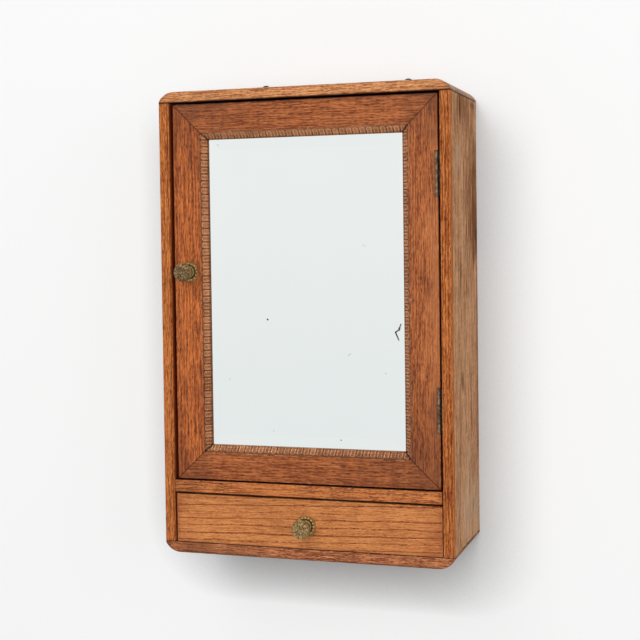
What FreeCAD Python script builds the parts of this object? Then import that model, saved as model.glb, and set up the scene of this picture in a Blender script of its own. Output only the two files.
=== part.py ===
import FreeCAD
import Part
import Sketcher
import os
import re

# Wall-hung shaving cabinet in oak: an open-fronted box with a mirrored door above and a drawer below.
# Millimetres, +Z up. The back lies on the plane y = 0, the front faces -Y, and the origin is midway
# between the holes of the two hanger plates.

SIZES = {
    # carcass boards
    "cabinet_width": 360.0,
    "cabinet_height": 560.0,
    "cabinet_depth": 150.0,
    "side_thickness": 13.0,
    "top_thickness": 13.0,
    "bottom_thickness": 13.0,
    "divider_thickness": 14.5,
    "drawer_opening": 61.3,
    "end_round_length": 19.0,
    "end_round_height": 11.4,
    "edge_radius": 1.2,
    "housing_depth": 4.0,
    "housing_setback": 14.0,
    "divider_gap_left": 0.3,
    "divider_gap_right": 1.2,
    "back_thickness": 5.0,
    "back_rebate": 6.0,
    # dowels between the sides and the top and bottom boards
    "dowel_radius": 3.0,
    "dowel_in_board": 4.5,
    "dowel_in_side": 16.0,
    # nails of the back panel
    "back_nail_shank": 0.8,
    "back_nail_head": 2.0,
    "back_nail_head_depth": 0.8,
    "back_nail_length": 16.0,
    # hanger plates, let into the back edge of the top board
    "hanger_spacing": 190.0,
    "hanger_rise": 13.0,
    "hanger_thickness": 2.0,
    "hanger_width": 36.0,
    "hanger_drop": 11.0,
    "hanger_ear_radius": 7.0,
    "hanger_hole_radius": 2.5,
    "hanger_screw_spacing": 22.0,
    "hanger_screw_shank": 1.4,
    "hanger_screw_head": 2.8,
    "hanger_screw_length": 16.0,
    # shelf and its cleats
    "shelf_height": 215.0,
    "shelf_thickness": 10.0,
    "shelf_setback": 45.0,
    "shelf_clearance": 0.5,
    "cleat_thickness": 9.0,
    "cleat_height": 14.0,
    "cleat_setback": 6.0,
    "cleat_screw_shank": 1.3,
    "cleat_screw_head": 2.6,
    "cleat_screw_length": 17.0,
    # door frame
    "door_recess": 3.0,
    "door_thickness": 20.0,
    "door_gap_latch": 4.2,
    "door_gap_top": 2.6,
    "door_gap_bottom": 2.0,
    "stile_width": 34.4,
    "top_rail_width": 34.4,
    "bottom_rail_width": 32.8,
    "frame_ease": 0.5,
    "mitre_dowel_radius": 3.0,
    "mitre_dowel_length": 24.0,
    # carved bead moulding inside the door frame
    "bead_width": 8.6,
    "bead_depth": 9.2,
    "bead_proud": 0.5,
    "bead_outer_lip": 1.2,
    "bead_inner_lip": 1.2,
    "bead_pitch": 8.3,
    "bead_notch_width": 1.6,
    "bead_notch_depth": 0.8,
    # mirror and what holds it in the frame
    "glass_thickness": 4.0,
    "glass_clearance": 0.5,
    "bevel_width": 21.0,
    "bevel_drop": 1.6,
    "backing_thickness": 3.0,
    "strip_width": 6.0,
    "strip_pin_shank": 0.6,
    "strip_pin_head": 1.0,
    "strip_pin_head_depth": 0.5,
    "strip_pin_length": 15.0,
    # butt hinges
    "hinge_length": 50.0,
    "hinge_inset": 91.5,
    "leaf_thickness": 1.2,
    "leaf_clearance": 0.4,
    "leaf_width": 18.0,
    "barrel_radius": 2.2,
    "barrel_clearance": 0.4,
    "barrel_proud": 1.5,
    "knuckle_gap": 0.3,
    "pin_radius": 1.0,
    "pin_clearance": 0.05,
    "pin_head_radius": 1.7,
    "pin_head_height": 1.0,
    "hinge_screw_shank": 1.2,
    "hinge_screw_head": 2.4,
    "hinge_screw_length": 11.0,
    # knobs and rosettes
    "rosette_radius": 13.0,
    "rosette_plate": 1.2,
    "rosette_dome_radius": 8.6,
    "rosette_dome_top": 6.0,
    "rosette_dome_height": 2.0,
    "rosette_ring": 0.7,
    "rosette_stud_circle": 10.4,
    "rosette_stud_radius": 1.2,
    "knob_projection": 24.0,
    "knob_head_radius": 11.3,
    "knob_head_half": 5.5,
    "knob_neck_radius": 4.2,
    "knob_collar_radius": 5.2,
    "knob_collar_height": 2.4,
    # turning latch behind the door knob
    "door_knob_inset": 18.0,
    "door_knob_height": 251.5,
    "spindle_radius": 2.5,
    "spindle_clearance": 0.05,
    "spindle_in_knob": 12.0,
    "spindle_tail": 1.5,
    "bush_radius": 4.0,
    "rosette_play": 0.3,
    "sleeve_radius": 4.6,
    "tongue_thickness": 3.0,
    "tongue_half_width": 5.0,
    "tongue_eye_radius": 6.0,
    "tongue_reach": 18.0,
    "tongue_clearance": 0.4,
    "nut_radius": 5.0,
    "nut_height": 4.0,
    "stop_width": 12.0,
    "stop_depth": 7.0,
    "stop_clearance": 0.4,
    "keeper_thickness": 1.0,
    "keeper_height": 40.0,
    "keeper_screw_shank": 1.0,
    "keeper_screw_head": 2.0,
    "keeper_screw_length": 6.5,
    "keeper_screw_inset": 5.0,
    # drawer
    "drawer_recess": 1.0,
    "drawer_gap_left": 2.2,
    "drawer_gap_right": 1.0,
    "drawer_gap_top": 2.4,
    "drawer_gap_bottom": 0.4,
    "drawer_front_thickness": 13.0,
    "drawer_rebate": 7.0,
    "drawer_side_thickness": 9.0,
    "drawer_side_height": 50.0,
    "drawer_back_thickness": 9.0,
    "drawer_bottom_thickness": 4.0,
    "drawer_groove": 4.0,
    "drawer_groove_rise": 5.0,
    "drawer_nail_shank": 0.8,
    "drawer_nail_head": 1.6,
    "drawer_nail_head_depth": 0.7,
    "drawer_nail_length": 20.0,
    "drawer_knob_drop": 2.0,
    "knob_screw_shank": 2.0,
    "knob_screw_head": 4.0,
    "knob_screw_in_knob": 12.0,
    "stop_block_width": 24.0,
    "stop_block_depth": 5.0,
    "stop_block_height": 14.0,
    "stop_block_inset": 20.0,
    "stop_block_clearance": 0.3,
    # how far a cutting shape runs past the face it cuts
    "overrun": 2.0,
}

# Places along a length where like fasteners sit, as shares of that length.
DOWEL_SHARES = ("0.2", "0.5", "0.8")
BACK_NAIL_SHARES = ("0.06", "0.28", "0.5", "0.72", "0.94")
DIVIDER_NAIL_SHARES = ("-0.6", "0", "0.6")
CLEAT_SCREW_SHARES = ("0.2", "0.8")
HINGE_SCREW_SHARES = (("0.14", "0.45"), ("0.5", "0.75"), ("0.86", "0.45"))
STRIP_PIN_SHARES = ("0.12", "0.5", "0.88")
DRAWER_NAIL_SHARES = ("0.3", "0.75")
KNUCKLES = 5
ROSETTE_STUDS = 16
FULL_TURN = 360
SQUARE_TURN = 90

UP = FreeCAD.Vector(0, 0, 1)
RIGHT = FreeCAD.Vector(1, 0, 0)
LEFT = FreeCAD.Vector(-1, 0, 0)
DOWN = FreeCAD.Vector(0, 0, -1)
FORWARD = FreeCAD.Vector(0, -1, 0)
BACKWARD = FreeCAD.Vector(0, 1, 0)
SAME_PLACE = 1e-6
ARC_GUESS_SHARE = 0.2

# Places worked out from the sizes.
INNER = "(cabinet_width / 2 - side_thickness)"
FRONT = "(-cabinet_depth)"
TOP = "(-hanger_rise)"
BOTTOM = f"({TOP} - cabinet_height)"
SIDE_LOW = f"({BOTTOM} + bottom_thickness)"
SIDE_HIGH = f"({TOP} - top_thickness)"
SIDE_HEIGHT = "(cabinet_height - top_thickness - bottom_thickness)"
DIVIDER_LOW = f"({SIDE_LOW} + drawer_opening)"
DIVIDER_HIGH = f"({DIVIDER_LOW} + divider_thickness)"
BACK_FACE = "(-back_thickness)"
SHELF_LOW = f"({DIVIDER_HIGH} + shelf_height)"
SHELF_FRONT = f"({FRONT} + shelf_setback)"

DOOR_LEFT = f"(door_gap_latch - {INNER})"
DOOR_RIGHT = f"({INNER} - 2 * leaf_thickness - leaf_clearance)"
DOOR_LOW = f"({DIVIDER_HIGH} + door_gap_bottom)"
DOOR_HIGH = f"({SIDE_HIGH} - door_gap_top)"
DOOR_WIDTH = f"({DOOR_RIGHT} - {DOOR_LEFT})"
DOOR_HEIGHT = f"({DOOR_HIGH} - {DOOR_LOW})"
DOOR_FACE = f"({FRONT} + door_recess)"
DOOR_BACK = f"({DOOR_FACE} + door_thickness)"
OPENING_LEFT = f"({DOOR_LEFT} + stile_width)"
OPENING_RIGHT = f"({DOOR_RIGHT} - stile_width)"
OPENING_LOW = f"({DOOR_LOW} + bottom_rail_width)"
OPENING_HIGH = f"({DOOR_HIGH} - top_rail_width)"
OPENING_WIDTH = f"({DOOR_WIDTH} - 2 * stile_width)"
OPENING_HEIGHT = f"({DOOR_HEIGHT} - top_rail_width - bottom_rail_width)"

# The glass comes forward until its bevel meets the inner edge of the bead.
GLASS_HIDDEN = "(bead_width - glass_clearance)"
GLASS_FACE = f"({DOOR_FACE} + bead_depth - bevel_drop * (1 - {GLASS_HIDDEN} / bevel_width))"
GLASS_BACK = f"({GLASS_FACE} + glass_thickness)"
BACKING_BACK = f"({GLASS_BACK} + backing_thickness)"

# The hinge axis stands just in front of the door's face, clear of the leaf on the side board.
AXIS_X = f"({INNER} - leaf_thickness - barrel_clearance - barrel_radius)"
AXIS_Y = f"({DOOR_FACE} - barrel_proud)"
BARREL_SPACE = "(barrel_radius + barrel_clearance)"
HINGES = {
    "upper": f"({DOOR_HIGH} - hinge_inset - hinge_length / 2)",
    "lower": f"({DOOR_LOW} + hinge_inset - hinge_length / 2)",
}

KNOB_X = f"({DOOR_LEFT} + door_knob_inset)"
KNOB_Z = f"({DOOR_LOW} + door_knob_height)"
ROSETTE_HEIGHT = "(rosette_plate + rosette_dome_height)"
STOP_FACE = f"({DOOR_BACK} + stop_clearance)"
STOP_BACK = f"({STOP_FACE} + stop_depth)"
TONGUE_FACE = f"({STOP_BACK} + keeper_thickness + tongue_clearance)"
TONGUE_BACK = f"({TONGUE_FACE} + tongue_thickness)"

DRAWER_LEFT = f"(drawer_gap_left - {INNER})"
DRAWER_RIGHT = f"({INNER} - drawer_gap_right)"
DRAWER_WIDTH = f"({DRAWER_RIGHT} - {DRAWER_LEFT})"
DRAWER_LOW = f"({SIDE_LOW} + drawer_gap_bottom)"
DRAWER_HEIGHT = "(drawer_opening - drawer_gap_bottom - drawer_gap_top)"
DRAWER_FACE = f"({FRONT} + drawer_recess)"
DRAWER_FRONT_BACK = f"({DRAWER_FACE} + drawer_front_thickness)"
DRAWER_END = f"({BACK_FACE} - stop_block_depth - stop_block_clearance)"
DRAWER_KNOB_X = f"(({DRAWER_LEFT} + {DRAWER_RIGHT}) / 2)"
DRAWER_KNOB_Z = f"({DRAWER_LOW} + {DRAWER_HEIGHT} / 2 - drawer_knob_drop)"

doc = FreeCAD.newDocument("ShavingCabinet")
sheet = doc.addObject("Spreadsheet::Sheet", "Dims")
for row, (name, size) in enumerate(SIZES.items(), start=1):
    sheet.set(f"A{row}", name)
    sheet.set(f"B{row}", str(size))
    sheet.setAlias(f"B{row}", name)
doc.recompute()

WORD = re.compile(r"[a-z_]+")
nodes = {}


def in_sheet(formula):
    """The formula with each size name turned into its cell of the sheet."""
    return WORD.sub(lambda word: f"Dims.{word[0]}" if word[0] in SIZES else word[0], formula)


def number(formula):
    """Present value of a formula, for the first guess of a sketch."""
    return float(sheet.evalExpression(in_sheet(formula)))


def bind(thing, prop, formula):
    thing.setExpression(prop, in_sheet(formula))


def place(thing, spot, heading=UP):
    """Point the shape's own Z axis along heading and tie its origin to a spot."""
    thing.Placement = FreeCAD.Placement(FreeCAD.Vector(), FreeCAD.Rotation(UP, heading))
    for axis, formula in zip("xyz", spot):
        bind(thing, f"Placement.Base.{axis}", formula)


def keep(label, thing):
    """Name a finished piece; its label becomes its file."""
    thing.Label = label
    nodes[label] = thing
    return thing


def primitive(kind, sizes, spot, heading=UP):
    shape = doc.addObject(f"Part::{kind}", kind)
    for prop, formula in sizes.items():
        bind(shape, prop, formula)
    place(shape, spot, heading)
    return shape


def block(size, corner):
    return primitive("Box", dict(zip(("Length", "Width", "Height"), size)), corner)


def rod(radius, length, spot, heading=UP):
    return primitive("Cylinder", {"Radius": radius, "Height": length}, spot, heading)


def taper(start_radius, end_radius, length, spot, heading=UP):
    sizes = {"Radius1": start_radius, "Radius2": end_radius, "Height": length}
    return primitive("Cone", sizes, spot, heading)


def fuse(*shapes):
    whole = doc.addObject("Part::MultiFuse", "Fuse")
    whole.Shapes = list(shapes)
    return whole


def group(*shapes):
    """Separate solids that share one node."""
    whole = doc.addObject("Part::Compound", "Group")
    whole.Links = list(shapes)
    return whole


def cut(base, *tools):
    for tool in tools:
        rest = doc.addObject("Part::Cut", "Cut")
        rest.Base = base
        rest.Tool = tool
        base = rest
    return base


def common(one, other):
    shared = doc.addObject("Part::Common", "Common")
    shared.Base = one
    shared.Tool = other
    return shared


def screw(kind, spot, heading):
    """Countersunk screw: a right-angled cone for a head, on a plain shank."""
    head = f"{kind}_head"
    shank = f"{kind}_shank"
    cone = taper(head, shank, f"{head} - {shank}", spot, heading)
    return fuse(cone, rod(shank, f"{kind}_length", spot, heading))


def nail(kind, spot, heading):
    """Nail with a flat head sunk flush."""
    head = rod(f"{kind}_head", f"{kind}_head_depth", spot, heading)
    return fuse(head, rod(f"{kind}_shank", f"{kind}_length", spot, heading))


def outline(piece, plane_role, corners, title="Outline", arcs=None):
    """Closed sketch on one of the piece's own planes, with every corner tied to a pair of formulas.

    arcs names the edges that are round, counted from the first corner, and for each the end ("start" or
    "end") where it runs smoothly into its neighbour.
    """
    arcs = arcs or {}
    sketch = piece.newObject("Sketcher::SketchObject", title)
    plane = next(item for item in piece.Origin.OriginFeatures if item.Role == plane_role)
    sketch.AttachmentSupport = [(plane, "")]
    sketch.MapMode = "FlatFace"
    points = [FreeCAD.Vector(number(across), number(along), 0) for across, along in corners]
    count = len(points)
    for index, point in enumerate(points):
        next_point = points[(index + 1) % count]
        if index in arcs:
            chord = next_point - point
            swell = FreeCAD.Vector(chord.y, -chord.x, 0) * ARC_GUESS_SHARE
            sketch.addGeometry(Part.Arc(point, (point + next_point) / 2 + swell, next_point))
        else:
            sketch.addGeometry(Part.LineSegment(point, next_point))
    for index in range(count):
        following = (index + 1) % count
        smooth = arcs.get(index) == "end" or arcs.get(following) == "start"
        joint = "Tangent" if smooth else "Coincident"
        sketch.addConstraint(Sketcher.Constraint(joint, index, 2, following, 1))
    for index, point in enumerate(points):
        for kind, formula, value in zip(("DistanceX", "DistanceY"), corners[index], point):
            rule = sketch.addConstraint(Sketcher.Constraint(kind, -1, 1, index, 1, value))
            bind(sketch, f"Constraints[{rule}]", formula)
    return sketch


def prism(plane_role, corners, length, spot, arcs=None):
    """Body padded from an outline: upwards from the XY plane, backwards from the XZ plane."""
    piece = doc.addObject("PartDesign::Body", "Piece")
    pad = piece.newObject("PartDesign::Pad", "Pad")
    pad.Profile = outline(piece, plane_role, corners, arcs=arcs)
    bind(pad, "Length", length)
    pad.Reversed = plane_role == "XZ_Plane"
    place(piece, spot)
    doc.recompute()
    return piece


def dress(piece, kind, prop, formula, names):
    """Fillet or chamfer on named edges or faces of the piece's last feature."""
    feature = piece.newObject(f"PartDesign::{kind}", kind)
    feature.Base = (piece.Tip if piece.Tip != feature else feature.BaseFeature, names)
    bind(feature, prop, formula)
    doc.recompute()


def front_face(piece):
    middles = [face.CenterOfMass.y for face in piece.Tip.Shape.Faces]
    return [f"Face{middles.index(min(middles)) + 1}"]


def edges_where(piece, wanted):
    edges = enumerate(piece.Tip.Shape.Edges, start=1)
    return [f"Edge{index}" for index, edge in edges if wanted(edge.CenterOfMass)]


def near(value, formula):
    return abs(value - number(formula)) < SAME_PLACE


# Dowels stand in the joints between the sides and the top and bottom boards.
dowel_list = []
for sign in ("-1", "1"):
    for share in DOWEL_SHARES:
        dowel_x = f"{sign} * (cabinet_width - side_thickness) / 2"
        dowel_y = f"{FRONT} * {share}"
        dowel_length = "dowel_in_board + dowel_in_side"
        for dowel_low in (f"{SIDE_LOW} - dowel_in_board", f"{SIDE_HIGH} - dowel_in_side"):
            dowel_list.append(rod("dowel_radius", dowel_length, (dowel_x, dowel_y, dowel_low)))
dowels = keep("carcass_dowels", group(*dowel_list))

# Hanger plates: a flat base let into the top board's back edge, and a round ear with a hole above it.
hangers = {}
hanger_screw_list = []
for hand, sign in (("left", "-1"), ("right", "1")):
    hanger_x = f"({sign} * hanger_spacing / 2)"
    base = block(
        ("hanger_width", "hanger_thickness", "hanger_drop"),
        (f"{hanger_x} - hanger_width / 2", "-hanger_thickness", f"{TOP} - hanger_drop"),
    )
    neck = block(
        ("2 * hanger_ear_radius", "hanger_thickness", "hanger_rise + hanger_drop"),
        (f"{hanger_x} - hanger_ear_radius", "-hanger_thickness", f"{TOP} - hanger_drop"),
    )
    ear = rod("hanger_ear_radius", "hanger_thickness", (hanger_x, "0", "0"), FORWARD)
    hole = rod("hanger_hole_radius", "hanger_thickness + 2 * overrun", (hanger_x, "overrun", "0"), FORWARD)
    screw_z = f"{TOP} - hanger_drop / 2"
    pair = [
        screw("hanger_screw", (f"{hanger_x} + {side} * hanger_screw_spacing / 2", "0", screw_z), FORWARD)
        for side in ("-1", "1")
    ]
    hanger_screw_list += pair
    hangers[hand] = keep(f"hanger_plate_{hand}", cut(fuse(base, neck, ear), hole, *pair))
hanger_screws = keep("hanger_screws", group(*hanger_screw_list))

# Top and bottom boards run over the ends of the sides; their outer corners are broadly rounded.
round_end = "(cabinet_width - end_round_length)"
boards = {
    "top": prism("XZ_Plane", (
        ("0", "0"), ("cabinet_width", "0"), ("cabinet_width", "top_thickness - end_round_height"),
        (round_end, "top_thickness"), ("end_round_length", "top_thickness"),
        ("0", "top_thickness - end_round_height"),
    ), "cabinet_depth", ("-cabinet_width / 2", FRONT, SIDE_HIGH), {2: "end", 4: "start"}),
    "bottom": prism("XZ_Plane", (
        ("cabinet_width", "bottom_thickness"), ("0", "bottom_thickness"), ("0", "end_round_height"),
        ("end_round_length", "0"), (round_end, "0"), ("cabinet_width", "end_round_height"),
    ), "cabinet_depth", ("-cabinet_width / 2", FRONT, BOTTOM), {2: "end", 4: "start"}),
}
for board in boards.values():
    dress(board, "Fillet", "Radius", "edge_radius", front_face(board))
keep("top_board", cut(boards["top"], dowels, *hangers.values(), hanger_screws))
keep("bottom_board", cut(boards["bottom"], dowels))

# Nails hold the back panel to the sides and to the back edge of the divider.
back_nail_list = []
for sign in ("-1", "1"):
    for share in BACK_NAIL_SHARES:
        nail_spot = (f"{sign} * ({INNER} + back_rebate / 2)", "0", f"{SIDE_LOW} + {share} * {SIDE_HEIGHT}")
        back_nail_list.append(nail("back_nail", nail_spot, FORWARD))
for share in DIVIDER_NAIL_SHARES:
    nail_spot = (f"{share} * {INNER}", "0", f"({DIVIDER_LOW} + {DIVIDER_HIGH}) / 2")
    back_nail_list.append(nail("back_nail", nail_spot, FORWARD))
back_nails = keep("back_panel_nails", group(*back_nail_list))
back_board = block(
    (f"2 * ({INNER} + back_rebate)", "back_thickness", SIDE_HEIGHT),
    (f"-({INNER} + back_rebate)", BACK_FACE, SIDE_LOW),
)
keep("back_panel", cut(back_board, back_nails))

# The divider fills the width at the front and is housed in the sides behind that.
divider_left = f"(divider_gap_left - {INNER})"
divider_right = f"({INNER} - divider_gap_right)"
housed_half = f"({INNER} + housing_depth)"
divider_depth = "(cabinet_depth - back_thickness)"
divider_outline = (
    (divider_left, "0"), (divider_right, "0"), (divider_right, "housing_setback"),
    (housed_half, "housing_setback"), (housed_half, divider_depth), (f"-{housed_half}", divider_depth),
    (f"-{housed_half}", "housing_setback"), (divider_left, "housing_setback"),
)
divider_body = prism("XY_Plane", divider_outline, "divider_thickness", ("0", FRONT, DIVIDER_LOW))
dress(divider_body, "Fillet", "Radius", "edge_radius", front_face(divider_body))
divider = keep("divider_board", cut(divider_body, back_nails))

# The shelf lies loose on two screwed cleats.
shelf_size = (
    f"2 * ({INNER} - shelf_clearance)",
    f"{BACK_FACE} - shelf_clearance - {SHELF_FRONT}",
    "shelf_thickness",
)
keep("shelf", block(shelf_size, (f"shelf_clearance - {INNER}", SHELF_FRONT, SHELF_LOW)))
cleat_front = f"({SHELF_FRONT} + cleat_setback)"
cleat_depth = f"({BACK_FACE} - {cleat_front})"
cleat_screw_list = []
for hand, sign, outwards in (("left", "-1", LEFT), ("right", "1", RIGHT)):
    cleat_x = f"{sign} * ({INNER} - cleat_thickness / 2) - cleat_thickness / 2"
    cleat = block(("cleat_thickness", cleat_depth, "cleat_height"),
                  (cleat_x, cleat_front, f"{SHELF_LOW} - cleat_height"))
    screw_x = f"{sign} * ({INNER} - cleat_thickness)"
    screw_z = f"{SHELF_LOW} - cleat_height / 2"
    pair = [
        screw("cleat_screw", (screw_x, f"{cleat_front} + {share} * {cleat_depth}", screw_z), outwards)
        for share in CLEAT_SCREW_SHARES
    ]
    cleat_screw_list += pair
    keep(f"shelf_cleat_{hand}", cut(cleat, *pair))
cleat_screws = keep("cleat_screws", group(*cleat_screw_list))

# Butt hinges: five knuckles in turn belong to the leaf on the side board and the leaf on the door.
knuckle_pitch = f"(hinge_length / {KNUCKLES})"
knuckle_length = f"({knuckle_pitch} - knuckle_gap)"
side_screw_list = []
door_screw_list = []
notches = []
for hinge, hinge_low in HINGES.items():
    side_plate = block(
        ("leaf_thickness", "leaf_width + leaf_thickness / 2", "hinge_length"),
        (f"{INNER} - leaf_thickness", f"{AXIS_Y} - leaf_thickness / 2", hinge_low),
    )
    door_plate = block(
        ("leaf_thickness", f"leaf_width - {BARREL_SPACE}", "hinge_length"),
        (DOOR_RIGHT, f"{AXIS_Y} + {BARREL_SPACE}", hinge_low),
    )
    side_parts = [side_plate]
    door_parts = [door_plate]
    for index in range(KNUCKLES):
        knuckle_low = f"{hinge_low} + {index} * {knuckle_pitch} + knuckle_gap / 2"
        barrel = rod("barrel_radius", knuckle_length, (AXIS_X, AXIS_Y, knuckle_low))
        if index % 2 == 0:
            web = block(
                (f"{INNER} - leaf_thickness / 2 - {AXIS_X}", "leaf_thickness", knuckle_length),
                (AXIS_X, f"{AXIS_Y} - leaf_thickness / 2", knuckle_low),
            )
            side_parts += [barrel, web]
        else:
            web = block(("leaf_thickness", f"{BARREL_SPACE} + leaf_thickness", knuckle_length),
                        (DOOR_RIGHT, AXIS_Y, knuckle_low))
            door_parts += [barrel, web]
    bore = rod("pin_radius + pin_clearance", "hinge_length + 2 * overrun",
               (AXIS_X, AXIS_Y, f"{hinge_low} - overrun"))
    side_screws = []
    door_screws = []
    for along, across in HINGE_SCREW_SHARES:
        screw_y = f"{AXIS_Y} + {BARREL_SPACE} + {across} * (leaf_width - {BARREL_SPACE})"
        screw_z = f"{hinge_low} + {along} * hinge_length"
        side_screws.append(screw("hinge_screw", (f"{INNER} - leaf_thickness", screw_y, screw_z), RIGHT))
        door_screws.append(screw("hinge_screw", (f"{DOOR_RIGHT} + leaf_thickness", screw_y, screw_z), LEFT))
    keep(f"hinge_{hinge}_side_leaf", cut(fuse(*side_parts), bore, *side_screws))
    keep(f"hinge_{hinge}_door_leaf", cut(fuse(*door_parts), bore, *door_screws))
    pin_low = f"({hinge_low} + knuckle_gap / 2)"
    pin_length = "(hinge_length - knuckle_gap)"
    keep(f"hinge_{hinge}_pin", fuse(
        rod("pin_radius", pin_length, (AXIS_X, AXIS_Y, pin_low)),
        rod("pin_head_radius", "pin_head_height", (AXIS_X, AXIS_Y, f"{pin_low} + {pin_length}")),
        rod("pin_head_radius", "pin_head_height", (AXIS_X, AXIS_Y, f"{pin_low} - pin_head_height")),
    ))
    side_screw_list += side_screws
    door_screw_list += door_screws
    notches.append(block(
        (f"{DOOR_RIGHT} - {AXIS_X} + {BARREL_SPACE} + overrun", f"{BARREL_SPACE} - barrel_proud + overrun",
         "hinge_length + 2 * (pin_head_height + barrel_clearance)"),
        (f"{AXIS_X} - {BARREL_SPACE}", f"{DOOR_FACE} - overrun",
         f"{hinge_low} - pin_head_height - barrel_clearance"),
    ))
hinge_side_screws = keep("hinge_side_screws", group(*side_screw_list))
hinge_door_screws = keep("hinge_door_screws", group(*door_screw_list))

# Sides: upright boards with a rebate for the back panel and a stopped housing for the divider.
rebate_start = "(cabinet_depth - back_thickness)"
side_outlines = {
    "left": (("0", "0"), ("side_thickness", "0"), ("side_thickness", rebate_start),
             ("side_thickness - back_rebate", rebate_start),
             ("side_thickness - back_rebate", "cabinet_depth"), ("0", "cabinet_depth")),
    "right": (("0", "0"), ("side_thickness", "0"), ("side_thickness", "cabinet_depth"),
              ("back_rebate", "cabinet_depth"), ("back_rebate", rebate_start), ("0", rebate_start)),
}
side_starts = {"left": "-cabinet_width / 2", "right": INNER}
side_tools = {"left": (cleat_screws,), "right": (cleat_screws, hinge_side_screws)}
for hand, corners in side_outlines.items():
    side = prism("XY_Plane", corners, SIDE_HEIGHT, (side_starts[hand], FRONT, SIDE_LOW))
    upright = edges_where(
        side,
        lambda middle: near(middle.y, "0") and near(middle.z, f"{SIDE_HEIGHT} / 2"),
    )
    dress(side, "Fillet", "Radius", "edge_radius", upright)
    keep(f"side_{hand}", cut(side, dowels, divider, back_nails, *side_tools[hand]))

# Door stop on the left side, with a thin plate on its back for the latch tongue to bear on.
keeper_screw_list = [
    screw("keeper_screw", (f"stop_width / 2 - {INNER}", f"{STOP_BACK} + keeper_thickness",
                           f"{KNOB_Z} + {side} * (keeper_height / 2 - keeper_screw_inset)"), FORWARD)
    for side in ("-1", "1")
]
keeper_screws = keep("keeper_screws", group(*keeper_screw_list))
stop_strip = block(("stop_width", "stop_depth", f"{SIDE_HIGH} - {DIVIDER_HIGH}"),
                   (f"-{INNER}", STOP_FACE, DIVIDER_HIGH))
keep("door_stop_strip", cut(stop_strip, keeper_screws))
keeper = block(("stop_width", "keeper_thickness", "keeper_height"),
               (f"-{INNER}", STOP_BACK, f"{KNOB_Z} - keeper_height / 2"))
keep("latch_keeper", cut(keeper, keeper_screws))

# Blocks at the back that the closed drawer stops against.
stop_blocks = [
    block(("stop_block_width", "stop_block_depth", "stop_block_height"),
          (f"{sign} * ({INNER} - stop_block_inset - stop_block_width / 2) - stop_block_width / 2",
           f"{BACK_FACE} - stop_block_depth", SIDE_LOW))
    for sign in ("-1", "1")
]
keep("drawer_stop_blocks", group(*stop_blocks))


def knob_shape(spot_x, seat, spot_z):
    """Turned knob facing forwards: a collar on its seat, a round neck and a flattened ball for a head."""
    seat_spot = (spot_x, seat, spot_z)
    reach = f"(knob_projection - {ROSETTE_HEIGHT} - knob_head_half)"
    collar = taper("knob_collar_radius", "knob_neck_radius", "knob_collar_height", seat_spot, FORWARD)
    neck = rod("knob_neck_radius", reach, seat_spot, FORWARD)
    head = primitive(
        "Ellipsoid",
        {"Radius1": "knob_head_half", "Radius2": "knob_head_radius", "Radius3": "knob_head_radius"},
        (spot_x, f"{seat} - {reach}", spot_z), FORWARD,
    )
    return fuse(collar, neck, head)


def rosette_shape(spot_x, face, spot_z):
    """Pressed rosette: a round plate, a low dome with a ring on top, and a circle of studs near the rim."""
    plate = rod("rosette_radius", "rosette_plate", (spot_x, face, spot_z), FORWARD)
    dome = taper("rosette_dome_radius", "rosette_dome_top", "rosette_dome_height",
                 (spot_x, f"{face} - rosette_plate", spot_z), FORWARD)
    ring = primitive("Torus", {"Radius1": "rosette_dome_top + rosette_ring", "Radius2": "rosette_ring"},
                     (spot_x, f"{face} - {ROSETTE_HEIGHT} + rosette_ring", spot_z), FORWARD)
    studs = []
    for index in range(ROSETTE_STUDS):
        angle = FULL_TURN * index / ROSETTE_STUDS
        stud_spot = (f"{spot_x} + rosette_stud_circle * cos({angle})", f"{face} - rosette_plate",
                     f"{spot_z} + rosette_stud_circle * sin({angle})")
        studs.append(primitive("Sphere", {"Radius": "rosette_stud_radius"}, stud_spot))
    behind = block(("2 * rosette_radius", "overrun", "2 * rosette_radius"),
                   (f"{spot_x} - rosette_radius", face, f"{spot_z} - rosette_radius"))
    return cut(fuse(plate, dome, ring, *studs), behind)


# Turning latch: knob, spindle, sleeve, tongue and nut turn as one in a bush through the left stile.
knob_seat = f"({DOOR_FACE} - {ROSETTE_HEIGHT} - rosette_play)"
spindle_start = f"({knob_seat} - spindle_in_knob)"
spindle_end = f"({TONGUE_BACK} + nut_height + spindle_tail)"
spindle = keep("latch_spindle", rod("spindle_radius", f"{spindle_end} - {spindle_start}",
                                    (KNOB_X, spindle_start, KNOB_Z), BACKWARD))
keep("door_knob", cut(knob_shape(KNOB_X, knob_seat, KNOB_Z), spindle))
sleeve_start = f"({DOOR_BACK} + rosette_play)"
sleeve = rod("sleeve_radius", f"{TONGUE_FACE} - {sleeve_start}", (KNOB_X, sleeve_start, KNOB_Z), BACKWARD)
keep("latch_sleeve", cut(sleeve, spindle))
tongue_tip = f"({KNOB_Z} - tongue_reach + tongue_half_width)"
tongue = fuse(
    rod("tongue_eye_radius", "tongue_thickness", (KNOB_X, TONGUE_FACE, KNOB_Z), BACKWARD),
    rod("tongue_half_width", "tongue_thickness", (KNOB_X, TONGUE_FACE, tongue_tip), BACKWARD),
    block(("2 * tongue_half_width", "tongue_thickness", f"{KNOB_Z} - {tongue_tip}"),
          (f"{KNOB_X} - tongue_half_width", TONGUE_FACE, tongue_tip)),
)
keep("latch_tongue", cut(tongue, spindle))
nut = primitive("Prism", {"Circumradius": "nut_radius", "Height": "nut_height"},
                (KNOB_X, TONGUE_BACK, KNOB_Z), BACKWARD)
keep("latch_nut", cut(nut, spindle))
bush_outside = rod("bush_radius", "door_thickness", (KNOB_X, DOOR_FACE, KNOB_Z), BACKWARD)
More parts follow.
